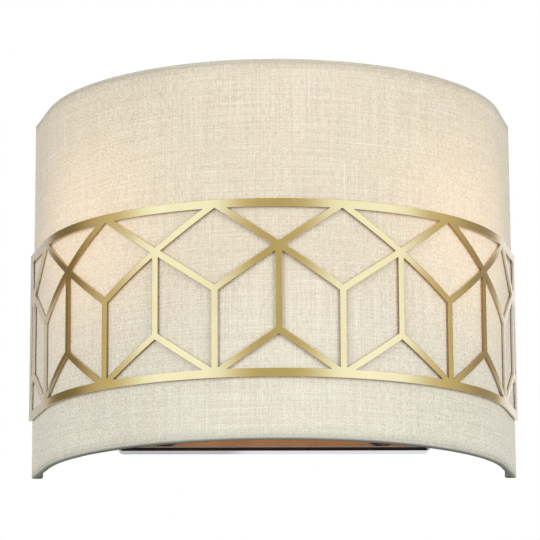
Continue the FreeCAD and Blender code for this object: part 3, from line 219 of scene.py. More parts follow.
class Finish:
    """A node material with short ways to add and join its nodes."""

    def __init__(self, name):
        self.material = bpy.data.materials.new(name)
        self.material.use_nodes = True
        self.nodes = self.material.node_tree.nodes
        self.links = self.material.node_tree.links
        self.shader = self.nodes["Principled BSDF"]

    def put(self, socket, value):
        if hasattr(value, "is_output"):
            self.links.new(value, socket)
        else:
            socket.default_value = value

    def set(self, **values):
        """Sets inputs of the main shader; an underscore in a name stands for a space."""
        for name, value in values.items():
            self.put(self.shader.inputs[name.replace("_", " ")], value)

    def surface(self, shader):
        """Shows this shader in place of the main one."""
        self.links.new(shader, self.nodes["Material Output"].inputs["Surface"])

    def operation(self, kind, operation, *values):
        """A new maths node of this kind, with its inputs set or joined."""
        node = self.nodes.new(kind)
        node.operation = operation
        for socket, value in zip(node.inputs, values):
            self.put(socket, value)
        return node.outputs

    def maths(self, operation, *values):
        return self.operation("ShaderNodeMath", operation, *values)[0]

    def vector_maths(self, operation, *values):
        return self.operation("ShaderNodeVectorMath", operation, *values)

    def weighted(self, *terms):
        """The sum of values, each times its own weight."""
        total = None
        for value, weight in terms:
            term = self.maths("MULTIPLY", value, weight)
            total = term if total is None else self.maths("ADD", total, term)
        return total

    def coordinates(self, kind):
        return self.nodes.new("ShaderNodeTexCoord").outputs[kind]

    def scaled(self, vector, scale):
        return self.vector_maths("MULTIPLY", vector, scale)[0]

    def moved(self, vector, other):
        return self.vector_maths("ADD", vector, other)[0]

    def split(self, vector):
        node = self.nodes.new("ShaderNodeSeparateXYZ")
        self.put(node.inputs[0], vector)
        return node.outputs

    def noise(self, vector, scale, detail=2.0, roughness=0.5, output="Fac"):
        """Noise; a scale of three numbers stretches it along the axes."""
        if isinstance(scale, tuple):
            vector, scale = self.scaled(vector, scale), 1.0
        node = self.nodes.new("ShaderNodeTexNoise")
        self.put(node.inputs["Vector"], vector)
        node.inputs["Scale"].default_value = scale
        node.inputs["Detail"].default_value = detail
        node.inputs["Roughness"].default_value = roughness
        return node.outputs[output]

    def range(self, value, low, high, to_low=0.0, to_high=1.0):
        """A smooth step of the value from low to high, mapped to to_low and to_high."""
        node = self.nodes.new("ShaderNodeMapRange")
        node.interpolation_type = "SMOOTHSTEP"
        self.put(node.inputs["Value"], value)
        for socket, number in zip(("From Min", "From Max", "To Min", "To Max"),
                                  (low, high, to_low, to_high)):
            node.inputs[socket].default_value = number
        return node.outputs[0]

    def mix(self, share, first, second, blend="MIX"):
        node = self.nodes.new("ShaderNodeMix")
        node.data_type = "RGBA"
        node.blend_type = blend
        first_colour, second_colour, mixed_colour = node.inputs[6], node.inputs[7], node.outputs[2]
        self.put(node.inputs["Factor"], share)
        self.put(first_colour, first)
        self.put(second_colour, second)
        return mixed_colour

    def tinted(self, share, colour, tint):
        """The colour, multiplied by the tint to this share."""
        return self.mix(share, colour, self.mix(1.0, colour, tint, "MULTIPLY"))

    def bump(self, height, distance, strength, rounding=0.0):
        node = self.nodes.new("ShaderNodeBump")
        if rounding:
            round_edges = self.nodes.new("ShaderNodeBevel")
            round_edges.samples = 6
            round_edges.inputs["Radius"].default_value = rounding
            self.links.new(round_edges.outputs[0], node.inputs["Normal"])
        node.inputs["Distance"].default_value = distance
        node.inputs["Strength"].default_value = strength
        self.put(node.inputs["Height"], height)
        self.links.new(node.outputs[0], self.shader.inputs["Normal"])


def rgb(red, green, blue):
    """A display colour, 0 to 255, as a linear colour."""
    linear = []
    for value in (red, green, blue):
        share = value / 255
        linear.append(share / 12.92 if share <= 0.04045 else ((share + 0.055) / 1.055) ** 2.4)
    return (*linear, 1.0)


def darkened(colour, share):
    return tuple(channel * share for channel in colour[:3]) + (1.0,)


# ---- Linen, in layers ----

# Painted light: the lower linen is made cooler and a little lighter.
LOWER_PAINTED_LIGHT_TINT = (1.008, 1.068, 1.125, 1.0)      # the lower linen is cooler
BLUSH_TINT = (1.0, 0.983, 1.02, 1.0)
# Painted shade: the linen by the rims is dimmer.
RIM_PAINTED_SHADE_TINT = (0.80, 0.83, 0.83, 1.0)         # and the linen by the rims dimmer


def weave(f, cloth):
    """A plain weave: which thread lies over, from -1 to 1, and the threads' height."""
    across, up, _ = f.split(cloth)
    turn = math.pi / THREAD_PITCH
    warp = f.maths("SINE", f.maths("MULTIPLY", across, turn))
    weft = f.maths("SINE", f.maths("MULTIPLY", up, turn))
    over = f.maths("MULTIPLY", warp, weft)
    return over, f.weighted((f.maths("ABSOLUTE", over), 0.6), (over, 0.4))


def thick_yarns(f, cloth, over):
    """Slubs: short thick stretches of single threads, where the weave brings them up."""
    level = f.noise(cloth, (17.0, 820.0, 3.0), 1.0)
    upright = f.noise(cloth, (820.0, 17.0, 7.0), 1.0)
    slubs = f.maths("MAXIMUM", f.range(level, 0.70, 0.76), f.range(upright, 0.70, 0.76))
    return f.maths("MULTIPLY", slubs, f.range(over, -0.7, 0.5, 0.35, 1.0))


def thread_shade(f, flat, cloth, place, over):
    """How light the thread is here: its yarn, long lines, flecks and broad clouds."""
    upright_yarn = f.noise(cloth, (1700.0, 260.0, 1.0), 2.0, 0.6)
    level_yarn = f.noise(cloth, (360.0, 1700.0, 1.0), 2.0, 0.6)
    yarn = f.maths("MULTIPLY", f.maths("ADD", upright_yarn, level_yarn), 0.5)
    upright_line = f.noise(cloth, (1100.0, 22.0, 5.0), 1.0)
    level_line = f.noise(cloth, (22.0, 1100.0, 5.0), 1.0)
    lines = f.maths("SUBTRACT", f.maths("ADD", upright_line, level_line), 1.0)
    fleck = f.noise(place, (1800.0, 620.0, 1800.0), 1.0)
    cloud = f.noise(flat, 14.0)
    # The flanks are seen at a slant, so their flecks are stronger.
    flank = f.range(f.maths("ABSOLUTE", f.split(place)[0]), 0.03, 0.09, 1.2, 3.8)
    return f.weighted((f.range(yarn, 0.22, 0.78), 1.0), (over, 0.37), (lines, 1.0),
                      (f.maths("SUBTRACT", fleck, 0.5), flank),
                      (f.maths("SUBTRACT", cloud, 0.5), 0.25))


def bulb_glow(f, place):
    """Warm light that comes through the cloth near the two bulbs."""
    near = [f.range(f.vector_maths("DISTANCE", place, (side * 0.094, -0.072, 0.018))["Value"],
                    0.085, 0.005) for side, _ in SIDES]
    return f.mix(f.maths("MAXIMUM", *near), (0, 0, 0, 1), (1.0, 0.62, 0.36, 1))


def linen(name, light, dark, glow=0.0):
    """Plain-weave linen on the UV map in metres, with uneven flecked threads and light slubs."""
    f = Finish(name)
    flat, place = f.coordinates("UV"), f.coordinates("Object")
    wander = f.noise(flat, 60.0, 1.0, output="Color")
    cloth = f.moved(flat, f.scaled(wander, (0.0003, 0.0003, 0.0)))
    over, threads = weave(f, cloth)
    slubs = thick_yarns(f, cloth, over)
    shade = thread_shade(f, flat, cloth, place, over)
    colour = f.mix(f.range(shade, -0.2, 1.2), dark, light)
    height = f.split(place)[2]
    # Painted light: cooler and a little lighter towards the bottom.
    colour = f.tinted(f.range(height, 0.02, -0.075), colour, LOWER_PAINTED_LIGHT_TINT)
    blush = f.noise(flat, (170.0, 60.0, 9.0), 2.0, 0.6)
    colour = f.tinted(f.range(blush, 0.42, 0.64), colour, BLUSH_TINT)
    heather = f.noise(flat, (420.0, 560.0, 1.0))
    husk = f.noise(flat, 300.0, 1.0)
    for flecks, strength, tone in ((f.range(heather, 0.62, 0.72), 0.28, rgb(206, 180, 160)),
                                   (slubs, 0.75, rgb(254, 252, 242)),
                                   (f.range(husk, 0.80, 0.84), 0.5, rgb(150, 128, 96))):
        colour = f.mix(f.maths("MULTIPLY", flecks, strength), colour, tone)
    # Painted shade: dimmer by the rims.
    colour = f.tinted(f.range(f.maths("ABSOLUTE", height), 0.0865, 0.0935), colour, RIM_PAINTED_SHADE_TINT)
    # Painted shade: the underside of the bottom roll is a darker greenish grey.
    painted_underside_shade = f.range(height, -0.0926, -0.0937)
    colour = f.mix(painted_underside_shade, colour, rgb(146, 148, 132))
    f.set(Base_Color=colour, Roughness=0.9, Specular_IOR_Level=0.15, Sheen_Weight=0.12,
          Sheen_Roughness=0.5)
    f.bump(f.weighted((threads, 0.6), (slubs, 0.4)), 0.00014, 0.5)
    if glow:
        f.set(Emission_Color=bulb_glow(f, place), Emission_Strength=glow)
    return f.material


# ---- Other materials ----

def metal(name, colour, roughness, grain=(40.0, 40.0, 900.0), spread=0.08):
    """Metal with a fine directional grain in its roughness and surface."""
    f = Finish(name)
    place = f.coordinates("Object")
    fine = f.noise(place, grain, 3.0, 0.6)
    broad = f.noise(place, 60.0)
    f.set(Base_Color=f.mix(f.range(broad, 0.3, 0.7), colour, darkened(colour, 0.93)), Metallic=1.0,
          Roughness=f.range(fine, 0.25, 0.75, roughness - spread, roughness + spread))
    f.bump(fine, 0.00003, 0.35)
    return f.material


def lacquered_gold(name):
    """Satin gold sheet under clear lacquer; its cut edges are duller, with painted shade making
    them browner and a painted reflection making them pale towards the flanks.
    """
    f = Finish(name)
    place = f.coordinates("Object")
    cloud = f.noise(place, 24.0)
    face = f.mix(f.range(cloud, 0.3, 0.7), rgb(229, 197, 112), rgb(225, 191, 106))
    # A cut edge faces neither away from the front curve's centre nor towards it.
    from_centre = f.moved(f.scaled(place, (1.0, 1.0, 0.0)), (0.0, -ARC_CENTRE_Y, 0.0))
    outward = f.vector_maths("NORMALIZE", from_centre)[0]
    normal = f.nodes.new("ShaderNodeNewGeometry").outputs["True Normal"]
    facing = f.vector_maths("DOT_PRODUCT", outward, normal)["Value"]
    cut = f.range(f.maths("ABSOLUTE", facing), 0.8, 0.4)
    fine = f.noise(place, (260.0, 260.0, 2400.0))
    smear = f.noise(place, 75.0, 3.0, 0.6)
    satin = f.maths("ADD", f.range(fine, 0.25, 0.75, 0.22, 0.26),
                    f.range(smear, 0.45, 0.7, 0.0, 0.05))
    # Painted light on the cut edges: brown as the shade on them, pale towards the flanks as the
    # reflection they show there.
    flank = f.range(f.maths("ABSOLUTE", f.split(place)[0]), 0.104, 0.117)
    edge = f.mix(flank, rgb(165, 130, 72), rgb(232, 222, 198))
    f.set(Base_Color=f.mix(cut, face, edge), Metallic=1.0, Coat_Weight=1.0, Coat_Roughness=0.14,
          Roughness=f.weighted((satin, 1.0), (cut, 0.15)))
    f.bump(fine, 0.000005, 0.2, rounding=0.0003)
    return f.material


def moulded(name, colour, roughness, mottle=0.04, speckle=500.0):
    """Paint, plastic or rubber with a faint surface texture."""
    f = Finish(name)
    place = f.coordinates("Object")
    fine = f.noise(place, speckle, 3.0, 0.6)
    broad = f.noise(place, 30.0)
    f.set(Base_Color=f.mix(f.range(broad, 0.3, 0.7), colour, darkened(colour, 1 - mottle)),
          Roughness=f.range(fine, 0.3, 0.7, roughness - 0.05, roughness + 0.05))
    f.bump(fine, 0.00004, 0.5)
    return f.material


def striped_insulation(name):
    """Green core insulation with a yellow stripe."""
    f = Finish(name)
    across, _, up = f.split(f.coordinates("Object"))
    slant = f.maths("ADD", across, f.maths("MULTIPLY", up, 0.4))
    wave = f.maths("SINE", f.maths("MULTIPLY", slant, 2400.0))
    stripe = f.mix(f.range(wave, -0.1, 0.1), rgb(58, 140, 52), rgb(226, 205, 48))
    f.set(Base_Color=stripe, Roughness=0.4)
    return f.material


def opal(name):
    """Opal globe, softly lit."""
    f = Finish(name)
    cloud = f.noise(f.coordinates("Object"), 50.0)
    milky = f.mix(f.range(cloud, 0.3, 0.7), rgb(250, 244, 232), rgb(244, 236, 220))
    f.set(Base_Color=milky, Roughness=0.28, Emission_Color=(1.0, 0.66, 0.34, 1.0),
          Emission_Strength=0.9)
    return f.material


# ---- Finishes ----

FELT = moulded("dark_felt", rgb(58, 52, 47), 0.95)
FINISHES = {
    "galvanised_steel": metal("galvanised_steel", rgb(196, 199, 200), 0.42, (60.0, 60.0, 60.0)),
    "zinc_screws": metal("zinc_plated_screws", rgb(206, 206, 200), 0.30, (300.0, 300.0, 300.0)),
    "white_paint": moulded("white_powder_coat", rgb(238, 236, 230), 0.45),
    "black_rubber": moulded("black_rubber", rgb(34, 34, 34), 0.7),
    "white_nylon": moulded("natural_nylon", rgb(232, 230, 218), 0.5),
    "plain_brass": metal("turned_brass", rgb(206, 172, 98), 0.28, (80.0, 900.0, 80.0)),
    "earth_insulation": striped_insulation("earth_insulation"),
    "frame_wire": moulded("white_coated_wire", rgb(232, 230, 222), 0.4),
    "white_liner": moulded("shade_liner_laminate", rgb(240, 229, 207), 0.5, 0.02, 900.0),
    "linen": linen("linen_weave", rgb(245, 236, 212), rgb(215, 202, 178), glow=0.22),
    # The rolled edge is a slightly darker copy of the linen: painted shade on the rims.
    "linen_rim": linen("linen_rolled_edge", rgb(239, 230, 209), rgb(210, 198, 175)),
    "gold_sheet": lacquered_gold("satin_gold_sheet"),
    "polished_steel": metal("polished_steel", rgb(208, 207, 205), 0.10, (500.0, 60.0, 60.0), 0.03),
    "white_holder": moulded("white_holder_moulding", rgb(238, 236, 228), 0.3),
    "nickel": metal("nickel_plate", rgb(212, 208, 198), 0.22, (60.0, 60.0, 700.0)),
    "solder": metal("tinned_contact", rgb(186, 186, 184), 0.4, (400.0, 400.0, 400.0)),
    "black_insulator": moulded("black_glass_insulator", rgb(28, 28, 30), 0.15),
    "bulb_white": moulded("bulb_housing_white", rgb(240, 238, 232), 0.32),
    "opal_globe": opal("opal_globe"),
    "live_insulation": moulded("brown_insulation", rgb(96, 58, 34), 0.4),
    "neutral_insulation": moulded("blue_insulation", rgb(44, 84, 158), 0.4),
}


def dress_frame_nodes():
    """Every solid carried over from the frame takes its slot's finish."""
    for node, slot in SLOT_OF.items():
        for held in NODES[node].material_slots:
            held.material = FINISHES[slot]


# ---- Linen shade ----

def linen_cover():
    """The stretched linen, a hair uneven and lifted a little onto the two rims."""
    half = plan_half(COVER_OFFSET, CLOTH_END)

    def place(across, up):
        near_rim = max(0.0, 1 - (CLOTH_TOP - abs(up)) / EDGE_REACH)
        ripple = RIPPLE * noise.noise(Vector((across * 40, up * 40, 3)))
        point, outward = plan_place(across, COVER_OFFSET)
        return point + outward * (ripple + EDGE_RISE * near_rim ** 3) + Vector((0, 0, up))

    piece = shaped_grid("linen_shade_cover", 260, 60, 2 * half, 2 * CLOTH_TOP, place)
    merge_and_face_out(piece)
    # An open sheet may come out with its faces turned either way.
    outward = sum(face.normal.dot(Vector((face.center.x, face.center.y, 0)))
                  for face in piece.data.polygons)
    if outward < 0:
        edit_whole(piece)
        bpy.ops.mesh.flip_normals()
        leave_edit()
    thick = piece.modifiers.new("cloth", "SOLIDIFY")
    thick.thickness = CLOTH
    thick.offset = -1
    apply_modifiers(piece)
    finish_piece(piece, "linen_cover")


def rolled_rim(label, z):
    """Linen rolled round the ring wire: a slightly uneven tube with closed ends."""
    half = plan_half(-ROLL / 2, CLOTH_END)
    girth = math.pi * ROLL

    def place(along, round_it):
        turn = round_it / girth * 2 * math.pi
        lump = noise.noise(Vector((along * 90, math.sin(turn), math.cos(turn) + z)))
        radius = ROLL / 2 * (1 - ROLL_SLACK - ROLL_LUMP * lump)
        point, outward = plan_place(along, -ROLL / 2)
        return (point + outward * (radius * math.cos(turn))
                + Vector((0, 0, z + radius * math.sin(turn))))

    piece = shaped_grid(label + "_rolled_rim", 300, 18, 2 * half, girth, place)
    merge_and_face_out(piece)
    close_ends(piece)
    finish_piece(piece, label + "_rim")


def end_wrap(side, label):
    """Linen folded round the shade's back end, splayed as the shade's side is."""
    low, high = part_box(label + "_end_wrap")
    piece = block(label + "_linen_wrap", (low + high) / 2, high - low)
    lean = (high.y - low.y) * math.tan(SIDE_SPLAY)
    for vertex in piece.data.vertices:
        outer = abs(vertex.co.x) > abs((low.x + high.x) / 2)
        front = vertex.co.y < (low.y + high.y) / 2
        if outer and front:
            vertex.co.x -= side * lean
        if not outer and not front:
            vertex.co.x += side * lean
    edit_whole(piece)
    bpy.ops.mesh.bevel(offset=WRAP_ROUNDING, segments=4, affect="EDGES")
    bpy.ops.uv.cube_project(cube_size=1.0, correct_aspect=False)
    leave_edit()
    finish_piece(piece, label + "_end_wrap")


# ---- Threads, knurling and recesses ----

def select_parts(piece, kind, test):
    """Leaves the edges or faces that pass the test selected, in edit mode."""
    pick(piece)
    bpy.ops.object.mode_set(mode="EDIT")
    bpy.ops.mesh.select_mode(type=kind)
    bpy.ops.mesh.select_all(action="DESELECT")
    leave_edit()
    for part in (piece.data.edges if kind == "EDGE" else piece.data.polygons):
        part.select = test(part)
    bpy.ops.object.mode_set(mode="EDIT")


def is_end(face):
    return abs(face.normal.z) > 0.9


def is_front_end(face):
    return face.normal.z > 0.9


def is_back_end(face):
    return face.normal.z < -0.9


def cut_through(piece, z, keep=0):
    """Cuts the piece level at z; keep 1 or -1 leaves only what is below or above, its end filled
    where the cut closes."""
    edit_whole(piece)
    bpy.ops.mesh.bisect(plane_co=(0, 0, z), plane_no=(0, 0, keep or 1), use_fill=bool(keep),
                        clear_outer=bool(keep))
    leave_edit()


def turned_bar(name, radius, low, high, vertices=48):
    """A round bar along Z."""
    clear_selection()
    bpy.ops.mesh.primitive_cylinder_add(vertices=vertices, radius=radius, depth=high - low,
                                        location=(0, 0, (low + high) / 2))
    apply_transform()
    return named(name)


def widen_ring(piece, z, share):
    """Scales the ring of points at this height about the axis."""
    points = piece.data.vertices
    select_parts(piece, "EDGE",
                 lambda edge: all(abs(points[i].co.z - z) < 1e-6 for i in edge.vertices))
    bpy.ops.transform.resize(value=(share, share, 1))
    leave_edit()


def thread(name, outer, inner, pitch, low, high):
    """A screw thread along Z: one tooth's outline, screwed up its pitch and cut level."""
    clear_selection()
    bpy.ops.mesh.primitive_plane_add(size=1)
    piece = named(name)
    bpy.ops.object.mode_set(mode="EDIT")
    bpy.ops.mesh.delete(type="ONLY_FACE")
    select_parts(piece, "EDGE", lambda edge: set(edge.vertices) == {0, 2})
    bpy.ops.mesh.delete(type="EDGE")
    leave_edit()
    start = low - pitch
    outline = {0: (inner, 0.0), 1: (outer, 0.36), 3: (outer, 0.64), 2: (inner, 1.0)}
    for index, (radius, share) in outline.items():
        piece.data.vertices[index].co = (radius, 0, start + share * pitch)
    turns = piece.modifiers.new("turns", "SCREW")
    turns.axis = "Z"
    turns.screw_offset = pitch
    turns.iterations = math.ceil((high - low) / pitch) + 2
    turns.steps = turns.render_steps = 28
    apply_modifiers(piece)
    merge_and_face_out(piece)
    cut_through(piece, low, -1)
    cut_through(piece, high, 1)
    merge_and_face_out(piece)
    return piece


def join(piece, *others):
    pick(piece)
    for other in others:
        other.select_set(True)
    bpy.ops.object.join()
    return piece


def turn_about(piece, degrees, axis):
    """Turns about the frame's origin, anticlockwise seen from the axis's tip."""
    pick(piece)
    # The operator counts the other way.
    bpy.ops.transform.rotate(value=math.radians(-degrees), orient_axis=axis,
                             center_override=(0, 0, 0))
    apply_transform()


def move_picked(offset):
    bpy.ops.transform.translate(value=offset)
    apply_transform()


def moved_copy(piece, name, offset):
    """A copy with its own mesh, moved by the offset, its origin left at the frame's."""
    pick(piece)
    bpy.ops.object.duplicate()
    twin = named(name)
    move_picked(offset)
    return twin


def at_the_studs(piece, label, node):
    """Copies of a piece at the four stud places; the piece itself is removed."""
    places = [(side + end + label, (x, 0, z))
              for side, x in (("left_", -STUD_X), ("right_", STUD_X))
              for end, z in (("lower_", -CARRIER_Z), ("upper_", CARRIER_Z))]
    copies = [moved_copy(piece, name, place) for name, place in places]
    bpy.data.objects.remove(piece)
    for copy in copies:
        finish_piece(copy, node)


def threaded_studs():
    """Flat-headed studs, threaded past the tray's front."""
    neck_radius, overlap = 1.62 * MM, 0.2 * MM
    neck_tip = STUD_SEAT + 1.2 * MM
    head = turned_bar("stud", HEAD_RADIUS, STUD_BACK, STUD_SEAT)
    select_parts(head, "FACE", is_back_end)
    bpy.ops.mesh.bevel(offset=0.25 * MM, segments=2, affect="EDGES")
    leave_edit()
    neck = turned_bar("stud_neck", neck_radius, STUD_SEAT - overlap, neck_tip)
    shank = thread("stud_shank", M4_RADIUS, M4_ROOT, M4_PITCH, neck_tip - overlap, STUD_TIP)
    widen_ring(shank, STUD_TIP, 0.86)
    piece = join(head, neck, shank)
    turn_about(piece, 90, "X")
    at_the_studs(piece, "stud", "shade_studs")


def knurled_nuts():
    """Thumb nuts: a knurled grip with a collar at the back and a dish in front.

    Once the rims are rounded, some of their faces pass for ends and are inset along with them,
    so the rims fold over and stand out past the solid nut. The ends are closed, with no bore.
    """
    groove_edge, groove_depth = 0.06 * MM, 0.24 * MM
    collar_step, collar_height, collar_wall = 1.15 * MM, 1.2 * MM, 2.45 * MM
    dish_edge, dish_depth, dish_width = 0.9 * MM, 0.2 * MM, 2.7 * MM
    piece = turned_bar("nut", NUT_RADIUS, NUT_BACK, NUT_FRONT, 80)
    select_parts(piece, "FACE", is_end)
    bpy.ops.mesh.bevel(offset=0.35 * MM, segments=3, affect="EDGES")
    select_parts(piece, "FACE", lambda face: abs(face.normal.z) < 0.1 and face.index % 2 == 0)
    bpy.ops.mesh.inset(thickness=groove_edge, depth=-groove_depth, use_individual=True)
    select_parts(piece, "FACE", is_back_end)
    bpy.ops.mesh.inset(thickness=collar_step, depth=0)
    bpy.ops.mesh.extrude_region_move(TRANSFORM_OT_translate={"value": (0, 0, -collar_height)})
    bpy.ops.mesh.inset(thickness=collar_wall, depth=0)
    select_parts(piece, "FACE", is_front_end)
    bpy.ops.mesh.inset(thickness=dish_edge, depth=-dish_depth)
    bpy.ops.mesh.inset(thickness=dish_width, depth=0)
    leave_edit()
    turn_about(piece, 90, "X")
    at_the_studs(piece, "thumb_nut", "thumb_nuts")


def screw_caps():
    """Bulb caps with a rolled screw thread, a drawn-in foot and a flare under the housing."""
    foot_radius, neck_radius, flare_radius = 5.8 * MM, 6.42 * MM, 8.0 * MM
    neck_low, neck_high, flare_low = -39.2 * MM, -20.6 * MM, -17.5 * MM
    body = turned_bar("cap", CAP_RADIUS, CAP_LOW, CAP_HIGH, 64)
    for z in (-39.8 * MM, neck_low, neck_high, -19.5 * MM, flare_low):
        cut_through(body, z)
    for z, radius in ((CAP_LOW, foot_radius), (neck_low, neck_radius), (neck_high, neck_radius),
                      (flare_low, flare_radius), (CAP_HIGH, flare_radius)):
        widen_ring(body, z, radius / CAP_RADIUS)
    rolled = thread("cap_thread", outer=6.88 * MM, inner=6.36 * MM, pitch=2.82 * MM,
                    low=-39.0 * MM, high=-20.8 * MM)
    piece = join(body, rolled)
    for side, label in SIDES:
        cap = moved_copy(piece, label + "_screw_cap", (side * LAMP_X, LAMP_Y, 0))
        finish_piece(cap, label + "_bulb_cap", body=label + "_bulb")
    bpy.data.objects.remove(piece)


def cross_screws():
    """The bracket's pan-head screws, with a cross recess and a threaded shank."""
    slot_size = (4.2 * MM, 0.75 * MM, 2.6 * MM)
    head = turned_bar("screw", HEAD_RADIUS, 0.0, SCREW_HEAD)
    select_parts(head, "FACE", is_front_end)
    bpy.ops.mesh.bevel(offset=1.3 * MM, segments=5, affect="EDGES")
    leave_edit()
    for turn in (45, 135):
        slot = block("recess_slot", (0, 0, SCREW_HEAD), slot_size)
        turn_about(slot, turn, "Z")
        recess = head.modifiers.new("recess", "BOOLEAN")
        recess.operation = "DIFFERENCE"
        recess.object = slot
        apply_modifiers(head)
        bpy.data.objects.remove(slot)
    shank = thread("screw_shank", M4_RADIUS, M4_ROOT, M4_PITCH, -SCREW_LENGTH, 0.1 * MM)
    piece = join(head, shank)
    for side, label in SIDES:
        screw = moved_copy(piece, label + "_bracket_screw", (0, 0, 0))
        turn_about(screw, side * 90, "Y")
        pick(screw)
        move_picked((side * TRAY_SIDE_X, SCREW_Y, 0))
        finish_piece(screw, "bracket_screws")
    bpy.data.objects.remove(piece)


# ---- Studio ----

def seen_rays(nodes, links):
    """1 for what is seen itself, in gloss or through glass, and 0 for what only gives light."""
    rays = nodes.new("ShaderNodeLightPath").outputs
    seen = rays["Is Camera Ray"]
    for kind in ("Is Glossy Ray", "Is Transmission Ray"):
        either = nodes.new("ShaderNodeMath")
        either.operation = "MAXIMUM"
        links.new(seen, either.inputs[0])
        links.new(rays[kind], either.inputs[1])
        seen = either.outputs[0]
    return seen


def floor():
    """A pale floor, white where it is seen."""
    clear_selection()
    bpy.ops.mesh.primitive_plane_add(size=9, location=(0, 0, -2.3))
    plane = named("studio_floor")
    f = Finish("pale_floor")
    speckle = f.noise(f.coordinates("Object"), 30.0)
    pale = f.mix(f.range(speckle, 0.3, 0.7), rgb(196, 196, 196), rgb(202, 202, 202))
    f.set(Base_Color=pale, Roughness=0.9)
    light = f.nodes.new("ShaderNodeEmission")
    both = f.nodes.new("ShaderNodeMixShader")
    f.links.new(seen_rays(f.nodes, f.links), both.inputs[0])
    f.links.new(f.shader.outputs[0], both.inputs[1])
    f.links.new(light.outputs[0], both.inputs[2])
    f.surface(both.outputs[0])
    plane.data.materials.append(f.material)


def world(level):
    """White where it is seen; otherwise a plain pale light of this level."""
    sky = bpy.data.worlds.new("studio")
    bpy.context.scene.world = sky
    sky.use_nodes = True
    nodes, links = sky.node_tree.nodes, sky.node_tree.links
    back = nodes["Background"]
    back.inputs["Color"].default_value = (1, 1, 1, 1)
    strength = nodes.new("ShaderNodeMapRange")
    strength.inputs["To Min"].default_value = level
    strength.inputs["To Max"].default_value = 1.0
    links.new(seen_rays(nodes, links), strength.inputs["Value"])
    links.new(strength.outputs[0], back.inputs["Strength"])


def add_lamp(name, kind, watts):
    data = bpy.data.lights.new(name, kind)
    data.energy = watts
    lamp = bpy.data.objects.new(name, data)
    bpy.context.scene.collection.objects.link(lamp)
    lamp.visible_glossy = False
    return lamp


def soft_box(label, azimuth, watts):
    """A white area lamp that looks at the shade; azimuth 0 stands in front of it."""
    distance, width, height = 1.35, 0.62, 1.0
    a, e = math.radians(azimuth), math.radians(8)
    towards = Vector((math.sin(a) * math.cos(e), -math.cos(a) * math.cos(e), math.sin(e)))
    lamp = add_lamp("soft_box_" + label, "AREA", watts)
    lamp.data.shape = "RECTANGLE"
    lamp.data.size, lamp.data.size_y = width, height
    lamp.location = Vector((0, -0.06, 0)) + towards * distance
    lamp.rotation_euler = (-towards).to_track_quat("-Z", "Y").to_euler()


def bulb_light(side, label):
    """The warm light that a bulb throws inside the shade."""
    lamp = add_lamp(label + "_bulb_light", "POINT", 0.052)
    lamp.data.color = (1.0, 0.36, 0.08)
    lamp.data.shadow_soft_size = 0.012
    lamp.location = (side * 0.028, -0.062, -0.008)
    lamp.visible_camera = False


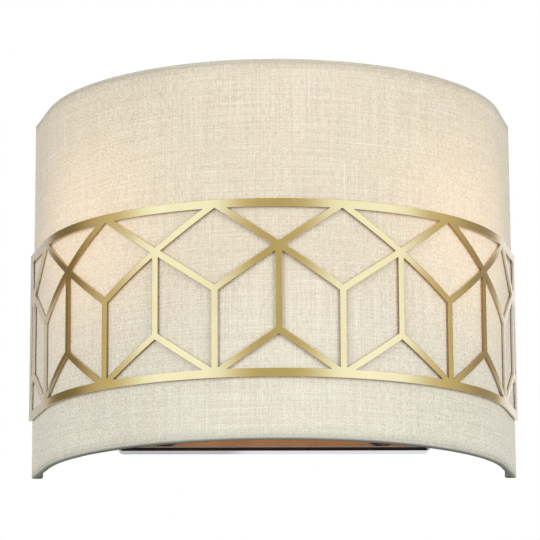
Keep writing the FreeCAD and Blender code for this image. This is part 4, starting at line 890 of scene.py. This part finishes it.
def reflected_surround():
    """A round screen that only gloss shows: grey in front, cool highlights either side, darker
    flanks."""
    clear_selection()
    bpy.ops.mesh.primitive_cylinder_add(vertices=96, radius=1.9, depth=2.6,
                                        end_fill_type="NOTHING", location=(0, -0.06, 0.35))
    apply_transform()
    screen = named("grey_screen")
    f = Finish("grey_screen")
    across, depth, _ = f.split(f.coordinates("Object"))
    turn = f.maths("ARCTAN2", across, f.maths("MULTIPLY", depth, -1.0))
    turn = f.maths("MULTIPLY", turn, 180 / math.pi)
    angle = f.maths("ABSOLUTE", turn)
    right = f.range(turn, -20.0, 20.0)
    front = f.range(angle, 8.0, 22.0, 0.58, 0.66)
    flank = f.mix(right, (0.21, 0.19, 0.14, 1), (0.36, 0.35, 0.33, 1))
    back = f.mix(right, (0.62, 0.62, 0.64, 1), (0.95, 0.96, 1.0, 1))
    level = f.mix(f.range(angle, 90.0, 112.0), front, flank)
    level = f.mix(f.range(angle, 131.0, 141.0), level, back)
    bright = f.maths("MULTIPLY", f.range(angle, 12.0, 30.0), f.range(angle, 80.0, 60.0))
    level = f.mix(bright, level, (1.2, 1.56, 2.9, 1))
    light = f.nodes.new("ShaderNodeEmission")
    f.links.new(level, light.inputs["Color"])
    f.surface(light.outputs[0])
    screen.data.materials.append(f.material)
    screen.visible_camera = False
    screen.visible_diffuse = False
    screen.visible_shadow = False
    screen.visible_transmission = False


def dark_card(name, centre, size):
    """A dark card close to the shade keeps the studio's light out of it; it isn't seen itself."""
    card = block(name, centre, size)
    card.data.materials.append(FELT)
    card.visible_camera = False
    card.visible_transmission = False


def dark_cards():
    """One card below the shade's opening, and two behind each flank."""
    dark_card("lower_card", (0, -0.026, -0.112), (0.190, 0.172, 0.001))
    for side, label in SIDES:
        x = side * 0.099
        dark_card(label + "_back_card", (x, -0.006, 0), (0.035, 0.001, 0.07))
        dark_card(label + "_low_back_card", (x, -0.006, -0.075), (0.035, 0.001, 0.04))


def camera():
    """The photograph's viewing angle, fitted to the band's nodes and the shade's rims."""
    yaw, pitch, roll = 0.0212, 0.2209, -0.0051
    place = (-0.0340084, -1.5276943, -0.3269167)
    forward = Vector((math.sin(yaw) * math.cos(pitch), math.cos(yaw) * math.cos(pitch),
                      math.sin(pitch)))
    right = Vector((math.cos(yaw), -math.sin(yaw), 0))
    up = right.cross(forward)
    right_rolled = right * math.cos(roll) + up * math.sin(roll)
    up_rolled = up * math.cos(roll) - right * math.sin(roll)
    data = bpy.data.cameras.new("photo_view")
    data.lens = 200.0
    data.sensor_width = 36.0
    view = bpy.data.objects.new("photo_view", data)
    bpy.context.scene.collection.objects.link(view)
    turned = Matrix((right_rolled, up_rolled, -forward)).transposed().to_4x4()
    view.matrix_world = Matrix.Translation(place) @ turned
    bpy.context.scene.camera = view


def main():
    dress_frame_nodes()
    linen_cover()
    rolled_rim("top", RIM_Z)
    rolled_rim("bottom", -RIM_Z)
    for side, label in SIDES:
        end_wrap(side, label)
    threaded_studs()
    knurled_nuts()
    screw_caps()
    cross_screws()
    floor()
    world(0.55)
    soft_box("left", -42, 7.0)
    soft_box("right", 46, 7.7)
    reflected_surround()
    dark_cards()
    for side, label in SIDES:
        bulb_light(side, label)
    camera()
    bpy.context.scene.view_settings.view_transform = "Standard"


main()
